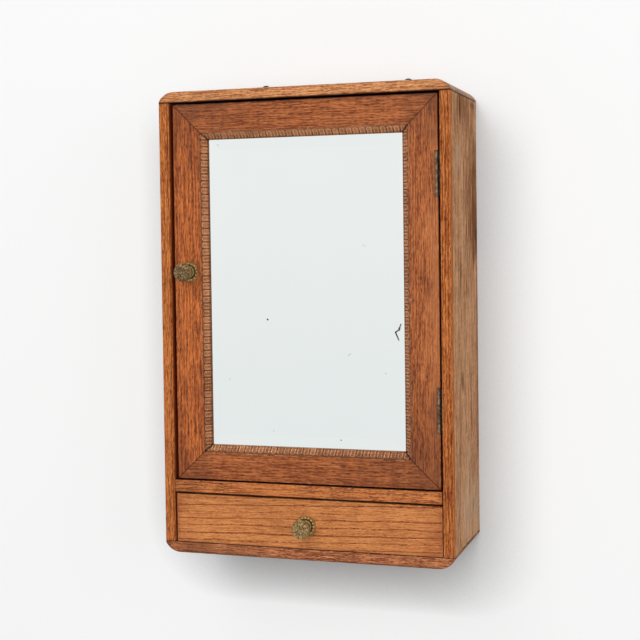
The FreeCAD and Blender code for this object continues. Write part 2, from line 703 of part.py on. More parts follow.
bush_bore = rod("spindle_radius + spindle_clearance", "door_thickness + 2 * overrun",
                (KNOB_X, f"{DOOR_FACE} - overrun", KNOB_Z), BACKWARD)
keep("knob_bush", cut(bush_outside, bush_bore))
rosette_hole = rod("spindle_radius + rosette_play", f"{ROSETTE_HEIGHT} + 2 * overrun",
                   (KNOB_X, f"{DOOR_FACE} + overrun", KNOB_Z), FORWARD)
keep("door_knob_rosette", cut(rosette_shape(KNOB_X, DOOR_FACE, KNOB_Z), rosette_hole))

# Mitre dowels cross each corner joint of the door frame at half its thickness.
mitre_dowel_list = []
reach = "(mitre_dowel_length / 2 / sqrt(2))"
rail_ends = ((DOOR_LOW, "1", "bottom_rail_width"), (DOOR_HIGH, "-1", "top_rail_width"))
for corner_x, inward_x in ((DOOR_LEFT, "1"), (DOOR_RIGHT, "-1")):
    for corner_z, inward_z, rail_width in rail_ends:
        heading = FreeCAD.Vector(int(inward_x), 0, -int(inward_z))
        start = (f"{corner_x} + {inward_x} * (stile_width / 2 - {reach})",
                 f"{DOOR_FACE} + door_thickness / 2",
                 f"{corner_z} + {inward_z} * ({rail_width} / 2 + {reach})")
        mitre_dowel_list.append(rod("mitre_dowel_radius", "mitre_dowel_length", start, heading))
mitre_dowels = keep("door_mitre_dowels", group(*mitre_dowel_list))

# Pins hold the backing strips to the inner faces of the door frame.
strip_middle = f"(({BACKING_BACK} + {DOOR_BACK}) / 2)"
strip_pin_list = []
for share in STRIP_PIN_SHARES:
    pin_z = f"{OPENING_LOW} + {share} * {OPENING_HEIGHT}"
    pin_x = f"{OPENING_LEFT} + {share} * {OPENING_WIDTH}"
    strip_pin_list += [
        nail("strip_pin", (f"{OPENING_LEFT} + strip_width", strip_middle, pin_z), LEFT),
        nail("strip_pin", (f"{OPENING_RIGHT} - strip_width", strip_middle, pin_z), RIGHT),
        nail("strip_pin", (pin_x, strip_middle, f"{OPENING_LOW} + strip_width"), DOWN),
        nail("strip_pin", (pin_x, strip_middle, f"{OPENING_HIGH} - strip_width"), UP),
    ]
strip_pins = keep("strip_pins", group(*strip_pin_list))
strip_depth = f"({DOOR_BACK} - {BACKING_BACK})"
strips = []
for strip_x in (OPENING_LEFT, f"{OPENING_RIGHT} - strip_width"):
    strips.append(block(("strip_width", strip_depth, OPENING_HEIGHT), (strip_x, BACKING_BACK, OPENING_LOW)))
for strip_z in (OPENING_LOW, f"{OPENING_HIGH} - strip_width"):
    strips.append(block((f"{OPENING_WIDTH} - 2 * strip_width", strip_depth, "strip_width"),
                        (f"{OPENING_LEFT} + strip_width", BACKING_BACK, strip_z)))
keep("backing_strips", cut(group(*strips), strip_pins))

# Door frame: four mitred members, each with its front edges eased.
far_x = f"({DOOR_WIDTH} - stile_width)"
far_z = f"({DOOR_HEIGHT} - top_rail_width)"
inner_low_left = ("stile_width", "bottom_rail_width")
inner_low_right = (far_x, "bottom_rail_width")
inner_high_left = ("stile_width", far_z)
inner_high_right = (far_x, far_z)
member_outlines = {
    "door_stile_left": (("0", "0"), inner_low_left, inner_high_left, ("0", DOOR_HEIGHT)),
    "door_stile_right": ((DOOR_WIDTH, "0"), (DOOR_WIDTH, DOOR_HEIGHT), inner_high_right, inner_low_right),
    "door_rail_bottom": (("0", "0"), (DOOR_WIDTH, "0"), inner_low_right, inner_low_left),
    "door_rail_top": (("0", DOOR_HEIGHT), inner_high_left, inner_high_right, (DOOR_WIDTH, DOOR_HEIGHT)),
}
member_tools = {
    "door_stile_left": (mitre_dowels, strip_pins, bush_outside),
    "door_stile_right": (mitre_dowels, strip_pins, hinge_door_screws, *notches),
    "door_rail_bottom": (mitre_dowels, strip_pins),
    "door_rail_top": (mitre_dowels, strip_pins),
}
for label, corners in member_outlines.items():
    member = prism("XZ_Plane", corners, "door_thickness", (DOOR_LEFT, DOOR_FACE, DOOR_LOW))
    dress(member, "Chamfer", "Size", "frame_ease", front_face(member))
    keep(label, cut(member, *member_tools[label]))

# Bead moulding: a strip that slopes from the frame down to the glass, notched between its carved units.
bead_slope_end = "(bead_depth - bead_inner_lip)"
bead_section = (("0", "-bead_proud"), ("bead_outer_lip", "-bead_proud"), ("bead_width", bead_slope_end),
                ("bead_width", "bead_depth"), ("0", "bead_depth"))
notch_section = (("bead_outer_lip", "-bead_proud - overrun"), ("bead_width", "-bead_proud - overrun"),
                 ("bead_width", f"{bead_slope_end} + bead_notch_depth"),
                 ("bead_outer_lip", "bead_notch_depth - bead_proud"))
bead_runs = {
    "bead_left": (OPENING_HEIGHT, 0, (OPENING_LEFT, DOOR_FACE, OPENING_LOW)),
    "bead_top": (OPENING_WIDTH, 1, (OPENING_LEFT, DOOR_FACE, OPENING_HIGH)),
    "bead_right": (OPENING_HEIGHT, 2, (OPENING_RIGHT, DOOR_FACE, OPENING_HIGH)),
    "bead_bottom": (OPENING_WIDTH, 3, (OPENING_RIGHT, DOOR_FACE, OPENING_LOW)),
}


def turn_about_depth(thing, quarter_turns):
    """Turn a piece about the Y axis, so that one strip's frame serves all four sides of the opening."""
    turn = FreeCAD.Rotation(BACKWARD, SQUARE_TURN * quarter_turns)
    thing.Placement = FreeCAD.Placement(thing.Placement.Base, turn)


for label, (run, quarter_turns, start) in bead_runs.items():
    moulding = prism("XY_Plane", bead_section, run, start)
    units = f"floor(({run} - 2 * bead_width) / bead_pitch)"
    notch_outline = outline(moulding, "XY_Plane", notch_section, "NotchOutline")
    bind(notch_outline, "AttachmentOffset.Base.z",
         f"({run} - {units} * bead_pitch - bead_notch_width) / 2")
    notch = moulding.newObject("PartDesign::Pocket", "Notch")
    notch.Profile = notch_outline
    notch.Reversed = True
    bind(notch, "Length", "bead_notch_width")
    row_of_notches = moulding.newObject("PartDesign::LinearPattern", "Notches")
    row_of_notches.Originals = [notch]
    row_of_notches.Direction = (notch_outline, ["N_Axis"])
    bind(row_of_notches, "Length", f"{units} * bead_pitch")
    bind(row_of_notches, "Occurrences", f"{units} + 1")
    moulding.Tip = row_of_notches
    mitred_outline = (("0", "0"), ("bead_width", "bead_width"), ("bead_width", f"{run} - bead_width"),
                      ("0", run))
    mitred = prism("XZ_Plane", mitred_outline, "bead_depth + bead_proud + 2 * overrun", start)
    bind(mitred, "Placement.Base.y", f"{DOOR_FACE} - bead_proud - overrun")
    turn_about_depth(moulding, quarter_turns)
    turn_about_depth(mitred, quarter_turns)
    keep(label, common(moulding, mitred))

# Mirror glass with a broad bevel on its front, and the thin board behind it.
glass_width = f"({OPENING_WIDTH} - 2 * glass_clearance)"
glass_height = f"({OPENING_HEIGHT} - 2 * glass_clearance)"
glass_left = f"({OPENING_LEFT} + glass_clearance)"
glass_low = f"({OPENING_LOW} + glass_clearance)"
bevelled_front = primitive("Wedge", {
    "Xmin": "bevel_width", "Xmax": f"{glass_width} - bevel_width", "X2min": "0", "X2max": glass_width,
    "Zmin": "bevel_width", "Zmax": f"{glass_height} - bevel_width", "Z2min": "0", "Z2max": glass_height,
    "Ymin": "0", "Ymax": "bevel_drop",
}, (glass_left, GLASS_FACE, glass_low))
flat_back = block((glass_width, "glass_thickness - bevel_drop", glass_height),
                  (glass_left, f"{GLASS_FACE} + bevel_drop", glass_low))
keep("mirror_glass", fuse(bevelled_front, flat_back))
backing = block((glass_width, "backing_thickness", glass_height), (glass_left, GLASS_BACK, glass_low))
keep("mirror_backing", backing)

# Drawer: front with rebated ends, two sides, a back, and a thin bottom let into grooves.
drawer_bottom_low = f"({DRAWER_LOW} + drawer_groove_rise)"
drawer_bottom_high = f"({drawer_bottom_low} + drawer_bottom_thickness)"
bottom_left = f"({DRAWER_LEFT} + drawer_side_thickness - drawer_groove)"
bottom_front = f"({DRAWER_FRONT_BACK} - drawer_groove)"
drawer_bottom = keep("drawer_bottom", block(
    (f"{DRAWER_WIDTH} - 2 * (drawer_side_thickness - drawer_groove)", f"{DRAWER_END} - {bottom_front}",
     "drawer_bottom_thickness"),
    (bottom_left, bottom_front, drawer_bottom_low),
))
drawer_nail_list = []
drawer_side_start = f"({DRAWER_FRONT_BACK} - drawer_rebate)"
front_nail_y = f"{DRAWER_FRONT_BACK} - drawer_rebate / 2"
back_nail_y = f"{DRAWER_END} - drawer_back_thickness / 2"
for edge, inwards in ((DRAWER_LEFT, RIGHT), (DRAWER_RIGHT, LEFT)):
    for share in DRAWER_NAIL_SHARES:
        nail_z = f"{DRAWER_LOW} + {share} * drawer_side_height"
        for nail_y in (front_nail_y, back_nail_y):
            drawer_nail_list.append(nail("drawer_nail", (edge, nail_y, nail_z), inwards))
drawer_nails = keep("drawer_nails", group(*drawer_nail_list))
for hand, side_x in (("left", DRAWER_LEFT), ("right", f"{DRAWER_RIGHT} - drawer_side_thickness")):
    drawer_side = block(
        ("drawer_side_thickness", f"{DRAWER_END} - {drawer_side_start}", "drawer_side_height"),
        (side_x, drawer_side_start, DRAWER_LOW),
    )
    keep(f"drawer_side_{hand}", cut(drawer_side, drawer_bottom, drawer_nails))
drawer_back = block(
    (f"{DRAWER_WIDTH} - 2 * drawer_side_thickness", "drawer_back_thickness",
     f"{DRAWER_LOW} + drawer_side_height - {drawer_bottom_high}"),
    (f"{DRAWER_LEFT} + drawer_side_thickness", f"{DRAWER_END} - drawer_back_thickness", drawer_bottom_high),
)
keep("drawer_back", cut(drawer_back, drawer_nails))

# The drawer's knob is held by a screw from inside.
drawer_seat = f"({DRAWER_FACE} - {ROSETTE_HEIGHT})"
knob_screw_start = (DRAWER_KNOB_X, DRAWER_FRONT_BACK, DRAWER_KNOB_Z)
knob_screw_length = f"({DRAWER_FRONT_BACK} - {drawer_seat} + knob_screw_in_knob)"
knob_screw_cone = "knob_screw_head - knob_screw_shank"
knob_screw = keep("drawer_knob_screw", fuse(
    taper("knob_screw_head", "knob_screw_shank", knob_screw_cone, knob_screw_start, FORWARD),
    rod("knob_screw_shank", knob_screw_length, knob_screw_start, FORWARD),
))
keep("drawer_knob", cut(knob_shape(DRAWER_KNOB_X, drawer_seat, DRAWER_KNOB_Z), knob_screw))
drawer_rosette = rosette_shape(DRAWER_KNOB_X, DRAWER_FACE, DRAWER_KNOB_Z)
keep("drawer_knob_rosette", cut(drawer_rosette, knob_screw))
shoulder = "(drawer_front_thickness - drawer_rebate)"
inner_end = f"({DRAWER_WIDTH} - drawer_side_thickness)"
drawer_front_outline = (
    ("0", "0"), (DRAWER_WIDTH, "0"), (DRAWER_WIDTH, shoulder), (inner_end, shoulder),
    (inner_end, "drawer_front_thickness"), ("drawer_side_thickness", "drawer_front_thickness"),
    ("drawer_side_thickness", shoulder), ("0", shoulder),
)
drawer_front = prism("XY_Plane", drawer_front_outline, DRAWER_HEIGHT, (DRAWER_LEFT, DRAWER_FACE, DRAWER_LOW))
dress(drawer_front, "Fillet", "Radius", "edge_radius", front_face(drawer_front))
keep("drawer_front", cut(drawer_front, drawer_bottom, drawer_nails, knob_screw))

doc.recompute()
for thing in doc.Objects:
    if {"Invalid", "Error"} & set(thing.State):
        raise RuntimeError(f"{thing.Name} ({thing.Label}) failed: {thing.State}")
for label, thing in nodes.items():
    if thing.Label != label:
        raise RuntimeError(f"label {label} is taken by another object")
    if thing.Shape.isNull() or not thing.Shape.isValid():
        raise RuntimeError(f"{label} has no valid shape")

os.makedirs("parts", exist_ok=True)
for label, thing in nodes.items():
    thing.Shape.exportStep(f"parts/{label}.step")
print(len(nodes), "pieces written")
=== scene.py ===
import bpy
import math
import numpy as np
from mathutils import Matrix, Vector


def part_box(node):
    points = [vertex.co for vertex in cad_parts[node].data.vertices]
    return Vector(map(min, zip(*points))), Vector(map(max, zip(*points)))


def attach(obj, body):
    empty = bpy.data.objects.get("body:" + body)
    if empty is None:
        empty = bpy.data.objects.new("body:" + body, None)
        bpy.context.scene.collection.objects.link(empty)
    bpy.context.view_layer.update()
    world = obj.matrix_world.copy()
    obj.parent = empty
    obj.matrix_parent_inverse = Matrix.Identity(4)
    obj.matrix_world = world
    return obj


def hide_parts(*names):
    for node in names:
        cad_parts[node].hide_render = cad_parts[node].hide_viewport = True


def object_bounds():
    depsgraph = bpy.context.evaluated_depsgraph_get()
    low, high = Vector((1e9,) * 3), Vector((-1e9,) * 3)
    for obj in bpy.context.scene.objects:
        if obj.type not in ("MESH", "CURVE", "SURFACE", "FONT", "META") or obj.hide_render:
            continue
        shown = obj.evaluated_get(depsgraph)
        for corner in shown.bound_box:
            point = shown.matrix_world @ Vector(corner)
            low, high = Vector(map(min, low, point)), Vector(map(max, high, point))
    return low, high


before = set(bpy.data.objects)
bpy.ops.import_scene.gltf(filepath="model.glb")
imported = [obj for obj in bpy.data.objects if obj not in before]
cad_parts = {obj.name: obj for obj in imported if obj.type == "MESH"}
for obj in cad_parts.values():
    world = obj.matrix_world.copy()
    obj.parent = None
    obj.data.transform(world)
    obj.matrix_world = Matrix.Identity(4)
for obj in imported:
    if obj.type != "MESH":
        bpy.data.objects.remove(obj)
cad_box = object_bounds()


# Carcass: two upright sides, a top and a bottom board that run over their ends, and the divider above the
# drawer. Solid oak, planed, stained and oiled, now rubbed and soiled. Dowels hold the top and the bottom, and
# the divider sits in stopped housings. Each board has its grain along its length.
def put(tree, kind, feeds=None, **options):
    """Adds one shader node with its options, and feeds its inputs from other sockets or with plain values."""
    made = tree.nodes.new("ShaderNode" + kind)
    for option, value in options.items():
        setattr(made, option, value)
    for place, feed in (feeds or {}).items():
        if isinstance(feed, bpy.types.NodeSocket):
            tree.links.new(feed, made.inputs[place])
        else:
            made.inputs[place].default_value = feed
    return made


def calc(tree, operation, *terms):
    """The result of one Math node."""
    return put(tree, "Math", dict(enumerate(terms)), operation=operation).outputs[0]


def aim(tree, operation, *terms):
    """The vector that one Vector Math node gives."""
    return put(tree, "VectorMath", dict(enumerate(terms)), operation=operation).outputs[0]


def measured(tree, operation, *terms):
    """The plain number that one Vector Math node gives, such as a length."""
    return put(tree, "VectorMath", dict(enumerate(terms)), operation=operation).outputs["Value"]


def parted(tree, place):
    """The three parts of a vector."""
    return put(tree, "SeparateXYZ", {0: place}).outputs


def step(tree, value, start, end):
    """Goes smoothly from 0 at start to 1 at end, whichever of the two is the larger."""
    feeds = {"Value": value, "From Min": start, "From Max": end}
    return put(tree, "MapRange", feeds, interpolation_type="SMOOTHSTEP").outputs[0]


def mixed(tree, share, first, second):
    """Mixes two colours, from all first at a share of 0 to all second at 1."""
    return put(tree, "Mix", {0: share, 6: first, 7: second}, data_type="RGBA").outputs[2]


def laid(tree, mask, depth, under, over):
    """Lays one colour over another where a mask is, to a depth that is 1 where nothing shows through."""
    return mixed(tree, calc(tree, "MULTIPLY", mask, depth), under, over)


def cloudy(tree, place, per_metre, detail=2.0):
    """Noise with so many features in a metre along each axis."""
    spread = aim(tree, "MULTIPLY", place, per_metre)
    return put(tree, "TexNoise", {"Vector": spread, "Scale": 1.0, "Detail": detail}).outputs[0]


def new_group(name, takes, gives):
    """A shader node group with named sockets: its tree, the sockets it reads and those it fills."""
    tree = bpy.data.node_groups.new(name, "ShaderNodeTree")
    for way, sockets in (("INPUT", takes), ("OUTPUT", gives)):
        for socket, kind in sockets.items():
            tree.interface.new_socket(socket, in_out=way, socket_type="NodeSocket" + kind)
    return tree, tree.nodes.new("NodeGroupInput").outputs, tree.nodes.new("NodeGroupOutput").inputs


# Figure of sawn wood, with X along the grain. The growth rings are the distance from the pith, bent by slow
# noise; each opens with a band of dark pores, which are short dashes. Fine fibres, short flecks and broad
# streaks lie over it all.
wood, take, give = new_group(
    "wood_figure",
    {"Grain": "Vector", "Pith": "Vector", "Seed": "Float", "Ring Width": "Float", "Band": "Float",
     "Bend": "Float", "Ring Depth": "Float", "Pore Depth": "Float", "Dashes": "Vector", "Strays": "Float",
     "Streak": "Float", "Fleck": "Float", "Pale": "Color", "Deep": "Color", "Pore": "Color"},
    {"Color": "Color", "Roughness": "Float", "Height": "Float"},
)
shifted = aim(wood, "ADD", take["Grain"], take["Seed"])


def swing(along, across, detail=2.0):
    """Noise about nought in the wood, with so many features in a metre along and across the grain."""
    return calc(wood, "SUBTRACT", cloudy(wood, shifted, (along, across, across), detail), 0.5)


bend = calc(wood, "MULTIPLY_ADD", swing(9.0, 80.0), 0.4, swing(2.4, 15.0))
bend = calc(wood, "MULTIPLY", bend, take["Bend"])
off_pith = parted(wood, aim(wood, "SUBTRACT", take["Grain"], take["Pith"]))
off_square = calc(wood, "MULTIPLY", off_pith[2], off_pith[2])
off_square = calc(wood, "MULTIPLY_ADD", off_pith[1], off_pith[1], off_square)
rings = calc(wood, "DIVIDE", calc(wood, "ADD", calc(wood, "SQRT", off_square), bend), take["Ring Width"])
ring_part = calc(wood, "FRACT", rings)
ring_number = calc(wood, "FLOOR", rings)
ring_chance = put(wood, "TexWhiteNoise", {"W": ring_number}, noise_dimensions="1D").outputs[0]
band_opens = step(wood, ring_part, 0.0, calc(wood, "MULTIPLY", take["Band"], 0.25))
band_closes = step(wood, ring_part, take["Band"], calc(wood, "MULTIPLY", take["Band"], 0.3))
ring_strength = calc(wood, "MULTIPLY_ADD", ring_chance, 0.7, 0.3)
open_band = calc(wood, "MULTIPLY", calc(wood, "MULTIPLY", band_opens, band_closes), ring_strength)
dashes = put(wood, "TexVoronoi", {"Vector": aim(wood, "MULTIPLY", shifted, take["Dashes"]), "Scale": 1.0})
dash_chance = put(wood, "SeparateColor", {0: dashes.outputs["Color"]}).outputs[0]
dash_kept = calc(wood, "LESS_THAN", dash_chance, calc(wood, "MULTIPLY_ADD", open_band, 0.9, take["Strays"]))
dash_edge, dash_core = 0.62, 0.3
pores = calc(wood, "MULTIPLY", step(wood, dashes.outputs["Distance"], dash_edge, dash_core), dash_kept)
fibres = swing(30.0, 1000.0)
flecks = calc(wood, "MULTIPLY_ADD", swing(230.0, 820.0), 0.8, swing(62.0, 820.0))
streaks = calc(wood, "MULTIPLY_ADD", swing(12.0, 260.0), 0.35, calc(wood, "MULTIPLY", fibres, 1.5))
streaks = calc(wood, "MULTIPLY_ADD", flecks, take["Fleck"], streaks)
streaks = calc(wood, "MULTIPLY_ADD", swing(4.5, 45.0, 3.0), 0.6, streaks)
middle_tone = 0.39
tone = calc(wood, "MULTIPLY_ADD", open_band, take["Ring Depth"], middle_tone)
tone = put(wood, "Clamp", {0: calc(wood, "MULTIPLY_ADD", streaks, take["Streak"], tone)}).outputs[0]
pore_share = calc(wood, "MULTIPLY", pores, take["Pore Depth"])
figured = mixed(wood, pore_share, mixed(wood, tone, take["Pale"], take["Deep"]), take["Pore"])
fibre_gloss = calc(wood, "MULTIPLY_ADD", fibres, 0.3, 0.5)
fibre_height = calc(wood, "MULTIPLY_ADD", fibres, 0.6, 0.6)
wood.links.new(figured, give["Color"])
wood.links.new(calc(wood, "MULTIPLY_ADD", pore_share, 0.25, fibre_gloss), give["Roughness"])
wood.links.new(calc(wood, "SUBTRACT", fibre_height, pore_share), give["Height"])

# Arrises of a board that fills the box from Low to High: the middle one of a point's three distances to the
# box tells how far the nearest arris is. Wear is a ragged line along it, and Rim a wider soiled band.
arris, take, give = new_group(
    "arris",
    {"Position": "Vector", "Low": "Vector", "High": "Vector", "Reach": "Float"},
    {"Wear": "Float", "Rim": "Float"},
)
inside = aim(arris, "MINIMUM", aim(arris, "SUBTRACT", take["Position"], take["Low"]),
             aim(arris, "SUBTRACT", take["High"], take["Position"]))
gaps = parted(arris, inside)
smaller = calc(arris, "MINIMUM", gaps[0], gaps[1])
larger = calc(arris, "MAXIMUM", gaps[0], gaps[1])
from_arris = calc(arris, "MAXIMUM", smaller, calc(arris, "MINIMUM", larger, gaps[2]))
ragged = calc(arris, "SUBTRACT", cloudy(arris, take["Position"], (130.0, 130.0, 130.0), 4.0), 0.42)
ragged = calc(arris, "MULTIPLY", ragged, take["Reach"])
wear_off = calc(arris, "MULTIPLY_ADD", ragged, 6.0, from_arris)
rim_off = calc(arris, "MULTIPLY_ADD", ragged, 14.0, from_arris)
rim_reach = calc(arris, "MULTIPLY", take["Reach"], 7.0)
arris.links.new(step(arris, wear_off, take["Reach"], 0.0), give["Wear"])
arris.links.new(step(arris, rim_off, rim_reach, 0.0), give["Rim"])

# Marks of use: broad blotches of handling, and fine scratches in patches, which run a little off the long way
# of the board.
scuffs, take, give = new_group("scuffs", {"Position": "Vector"}, {"Blotch": "Float", "Scratch": "Float"})
handling = cloudy(scuffs, take["Position"], (22.0, 22.0, 17.0), 4.0)
slanted = put(scuffs, "Mapping", {"Vector": take["Position"], "Rotation": (0.0, 0.21, 0.1)}).outputs[0]
scratch = step(scuffs, cloudy(scuffs, slanted, (32.0, 900.0, 900.0), 1.0), 0.68, 0.76)
patchy = step(scuffs, cloudy(scuffs, take["Position"], (30.0, 30.0, 30.0), 1.0), 0.5, 0.62)
scuffs.links.new(step(scuffs, handling, 0.48, 0.72), give["Blotch"])
scuffs.links.new(calc(scuffs, "MULTIPLY", scratch, patchy), give["Scratch"])

# How a board's long axis is turned to lie along the figure's X, and what most of the oak has in common.
quarter_turn = math.pi / 2
grain_turns = {"X": (0.0, 0.0, 0.0), "rising X": (0.0, 0.04, 0.0), "Y": (0.0, 0.0, -quarter_turn),
               "Z": (0.0, quarter_turn, 0.0)}
usual_pores = {"Dashes": (150.0, 1300.0, 1300.0), "Strays": 0.16, "Fleck": 1.5}
blotch_depth = 0.15


def shade(red, green, blue):
    """The linear colour of a finish that looks like these screen values, each from 0 to 255."""
    screen = np.array([red, green, blue]) / 255
    return (*np.where(screen > 0.04045, ((screen + 0.055) / 1.055) ** 2.4, screen / 12.92), 1.0)


def new_material(name):
    """An empty material: itself, its tree, and the piece's own coordinates."""
    material = bpy.data.materials.new(name)
    material.use_nodes = True
    tree = material.node_tree
    tree.nodes.clear()
    return material, tree, put(tree, "TexCoord").outputs["Object"]


def coat(piece, material):
    """Gives a piece its material in every slot."""
    for held in piece.material_slots:
        held.material = material


def figure(tree, place, along, across=1.0, **look):
    """The wood figure of a board with its grain along an axis, drawn out across the grain where across is
    below 1."""
    grain = put(tree, "Mapping", {"Vector": place, "Rotation": grain_turns[along]}).outputs[0]
    grain = aim(tree, "MULTIPLY", grain, (1.0, across, across))
    return put(tree, "Group", {"Grain": grain, **usual_pores, **look}, node_tree=wood).outputs


def board_material(name, box, along, look, rubbed, soiled, layers=(), shine=0.14, rim=0.5, reach=0.0010,
                   scratch=0.45, wear=0.75):
    """Wood of one board: its figure, soiled rims, scratches and rubbed arrises, then more layers of its own.
    Each layer is a function of the tree, the place and the colour so far, and returns the new colour."""
    material, tree, place = new_material(name)
    grown = figure(tree, place, along, **look)
    edges = put(tree, "Group", {"Position": place, "Low": box[0], "High": box[1], "Reach": reach},
                node_tree=arris).outputs
    marks = put(tree, "Group", {"Position": place}, node_tree=scuffs).outputs
    colour = laid(tree, marks["Blotch"], blotch_depth, grown["Color"], soiled)
    colour = laid(tree, edges["Rim"], rim, colour, soiled)
    colour = laid(tree, marks["Scratch"], scratch, colour, rubbed)
    colour = laid(tree, edges["Wear"], wear, colour, rubbed)
    for layer in layers:
        colour = layer(tree, place, colour)
    bump = put(tree, "Bump", {"Strength": 0.35, "Distance": 0.0005, "Height": grown["Height"]}).outputs[0]
    surface = put(tree, "BsdfPrincipled", {"Base Color": colour, "Roughness": grown["Roughness"],
                                           "Specular IOR Level": shine, "Normal": bump})
    put(tree, "OutputMaterial", {"Surface": surface.outputs[0]})
    return material


def dress_board(node, along, look, rubbed, soiled, layers=(), **finish):
    """Gives a CAD board its own wood."""
    made = board_material(node + "_wood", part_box(node), along, look, rubbed, soiled, layers, **finish)
    coat(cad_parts[node], made)


carcass_rubbed = shade(222, 158, 106)
carcass_soiled = shade(96, 48, 26)
carcass_look = {"Pale": shade(224, 138, 76), "Deep": shade(132, 64, 33), "Pore": shade(80, 38, 20),
                "Ring Width": 0.0034, "Band": 0.5, "Bend": 0.012, "Ring Depth": 0.3, "Pore Depth": 0.7,
                "Streak": 1.3}

# A spot of colour is an ellipsoid with a ragged edge. A dark line is thin and uneven: dirt where two pieces
# meet, and in places painted shade along an arris beside a gap.
colour_spot, take, give = new_group(
    "colour_spot", {"Position": "Vector", "Centre": "Vector", "Half Size": "Vector"}, {"Mask": "Float"})
drift = cloudy(colour_spot, take["Position"], (60.0, 60.0, 24.0), 4.0)
off_centre = aim(colour_spot, "SUBTRACT", take["Position"], take["Centre"])
spread = measured(colour_spot, "LENGTH", aim(colour_spot, "DIVIDE", off_centre, take["Half Size"]))
spread = calc(colour_spot, "ADD", spread, calc(colour_spot, "MULTIPLY_ADD", drift, 2.2, -1.1))
colour_spot.links.new(step(colour_spot, spread, 1.1, 0.1), give["Mask"])

dark_line, take, give = new_group(
    "dark_line", {"Position": "Vector", "Corner": "Vector", "Normal": "Vector", "Width": "Float"},
    {"Mask": "Float"})
off_corner = aim(dark_line, "SUBTRACT", take["Position"], take["Corner"])
off_joint = calc(dark_line, "ABSOLUTE", measured(dark_line, "DOT_PRODUCT", off_corner, take["Normal"]))
uneven = cloudy(dark_line, take["Position"], (90.0, 90.0, 90.0), 2.0)
opened = calc(dark_line, "MULTIPLY", take["Width"], calc(dark_line, "MULTIPLY_ADD", uneven, 1.6, 0.2))
dark_line.links.new(step(dark_line, off_joint, opened, 0.0), give["Mask"])

# The colour of the dark lines: dirt in joints, and in places painted shade beside a gap.
line_dirt_and_shade = shade(46, 22, 13)
# Painted shade for the faces in the gaps round the door and the drawer, and how deep it is laid.
gap_shade = shade(30, 15, 9)
gap_shade_depth = 0.9
# Where the painted shade in a gap starts and is full, and where it thins out and ends, along Y from the back.
gap_shade_start, gap_shade_full, gap_shade_thin, gap_shade_end = -0.128, -0.138, -0.1464, -0.1478


def spotted(centre, half_size, depth, tint):
    """The layer that lays one spot of colour on a piece: mostly a stain, on the top bead strip a painted
    highlight, on the bottom one painted shade.
    """
    def layer(tree, place, colour):
        spot = put(tree, "Group", {"Position": place, "Centre": centre, "Half Size": half_size},
                   node_tree=colour_spot).outputs[0]
        return laid(tree, spot, depth, colour, tint)
    return layer


def dark_lined(corner, normal, width, depth):
    """The layer that draws one thin dark line on a piece: dirt in a joint, and in places painted shade along
    an arris beside a gap.
    """
    def layer(tree, place, colour):
        line = put(tree, "Group", {"Position": place, "Corner": corner, "Normal": normal, "Width": width},
                   node_tree=dark_line).outputs[0]
        return laid(tree, line, depth, colour, line_dirt_and_shade)
    return layer


def shaded_gap(axis, level, shade_colour=gap_shade, face_reach=0.0012):
    """The layer of painted shade on the face at one level along an axis, beside the front half of the
    door's edge."""
    def layer(tree, place, colour):
        parts = parted(tree, place)
        off_face = calc(tree, "ABSOLUTE", calc(tree, "SUBTRACT", parts["XYZ".index(axis)], level))
        on_face = step(tree, off_face, face_reach, face_reach / 2)
        in_front = calc(tree, "MULTIPLY", step(tree, parts[1], gap_shade_start, gap_shade_full),
                        step(tree, parts[1], gap_shade_end, gap_shade_thin))
        return laid(tree, calc(tree, "MULTIPLY", on_face, in_front), gap_shade_depth, colour, shade_colour)
    return layer


# The outside of the sides has lost its finish to light and damp: a tan with soft streaks, brown where some of
# the old stain is left, and darker where water stood.
weathered_look = {"Pale": shade(243, 186, 141), "Deep": shade(162, 107, 71), "Pore": shade(112, 70, 42),
                  "Ring Width": 0.009, "Band": 0.6, "Bend": 0.02, "Ring Depth": 0.15, "Pore Depth": 0.4,
                  "Streak": 1.8, "Fleck": 0.8, "Seed": 3.1, "Pith": (0.0, 0.22, 0.0)}
weathered_shine = 0.0
weathered_across = 0.6
left_stain, water_mark, bleached = shade(130, 80, 50), shade(76, 46, 27), shade(226, 194, 162)
# Along the front arris, the outer face of each side keeps the old red stain, painted brighter as a highlight
# where the rounded arris catches the front light.
old_red_and_highlight, arris_depth = shade(197, 118, 68), 0.7
side_low, side_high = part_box("side_right")
cad_front = side_low.y
# Along Y, the fading starts and is full here, or up to fade_ragged further back.
fade_start, fade_full, fade_ragged = cad_front - 0.0035, cad_front - 0.0010, 0.014
# Stains on the outside: centre and half size along Y and Z, how deep they are, and their colour.
side_stains = (
    ((-0.105, -0.100), (0.022, 0.030), 0.40, bleached),
    ((-0.068, -0.220), (0.006, 0.030), 0.35, bleached),
    ((-0.065, -0.450), (0.030, 0.024), 0.30, bleached),
    ((-0.050, -0.515), (0.085, 0.055), 0.45, bleached),
    ((-0.020, -0.155), (0.054, 0.100), 0.90, left_stain),
    ((-0.070, -0.042), (0.060, 0.030), 0.55, left_stain),
    ((-0.004, -0.340), (0.009, 0.240), 0.50, left_stain),
    ((-0.045, -0.395), (0.005, 0.060), 0.45, left_stain),
    ((-0.108, -0.420), (0.010, 0.080), 0.40, left_stain),
    ((-0.099, -0.050), (0.007, 0.034), 0.85, water_mark),
    ((-0.030, -0.033), (0.026, 0.006), 0.50, water_mark),
    ((-0.008, -0.195), (0.007, 0.030), 0.85, water_mark),
    ((-0.1015, -0.248), (0.004, 0.034), 0.85, water_mark),
    ((-0.094, -0.365), (0.009, 0.015), 0.60, water_mark),
    ((-0.075, -0.420), (0.010, 0.011), 0.40, water_mark),
    ((-0.0385, -0.519), (0.0024, 0.012), 0.95, water_mark),
    ((-0.060, -0.5594), (0.072, 0.0018), 0.95, water_mark),
)


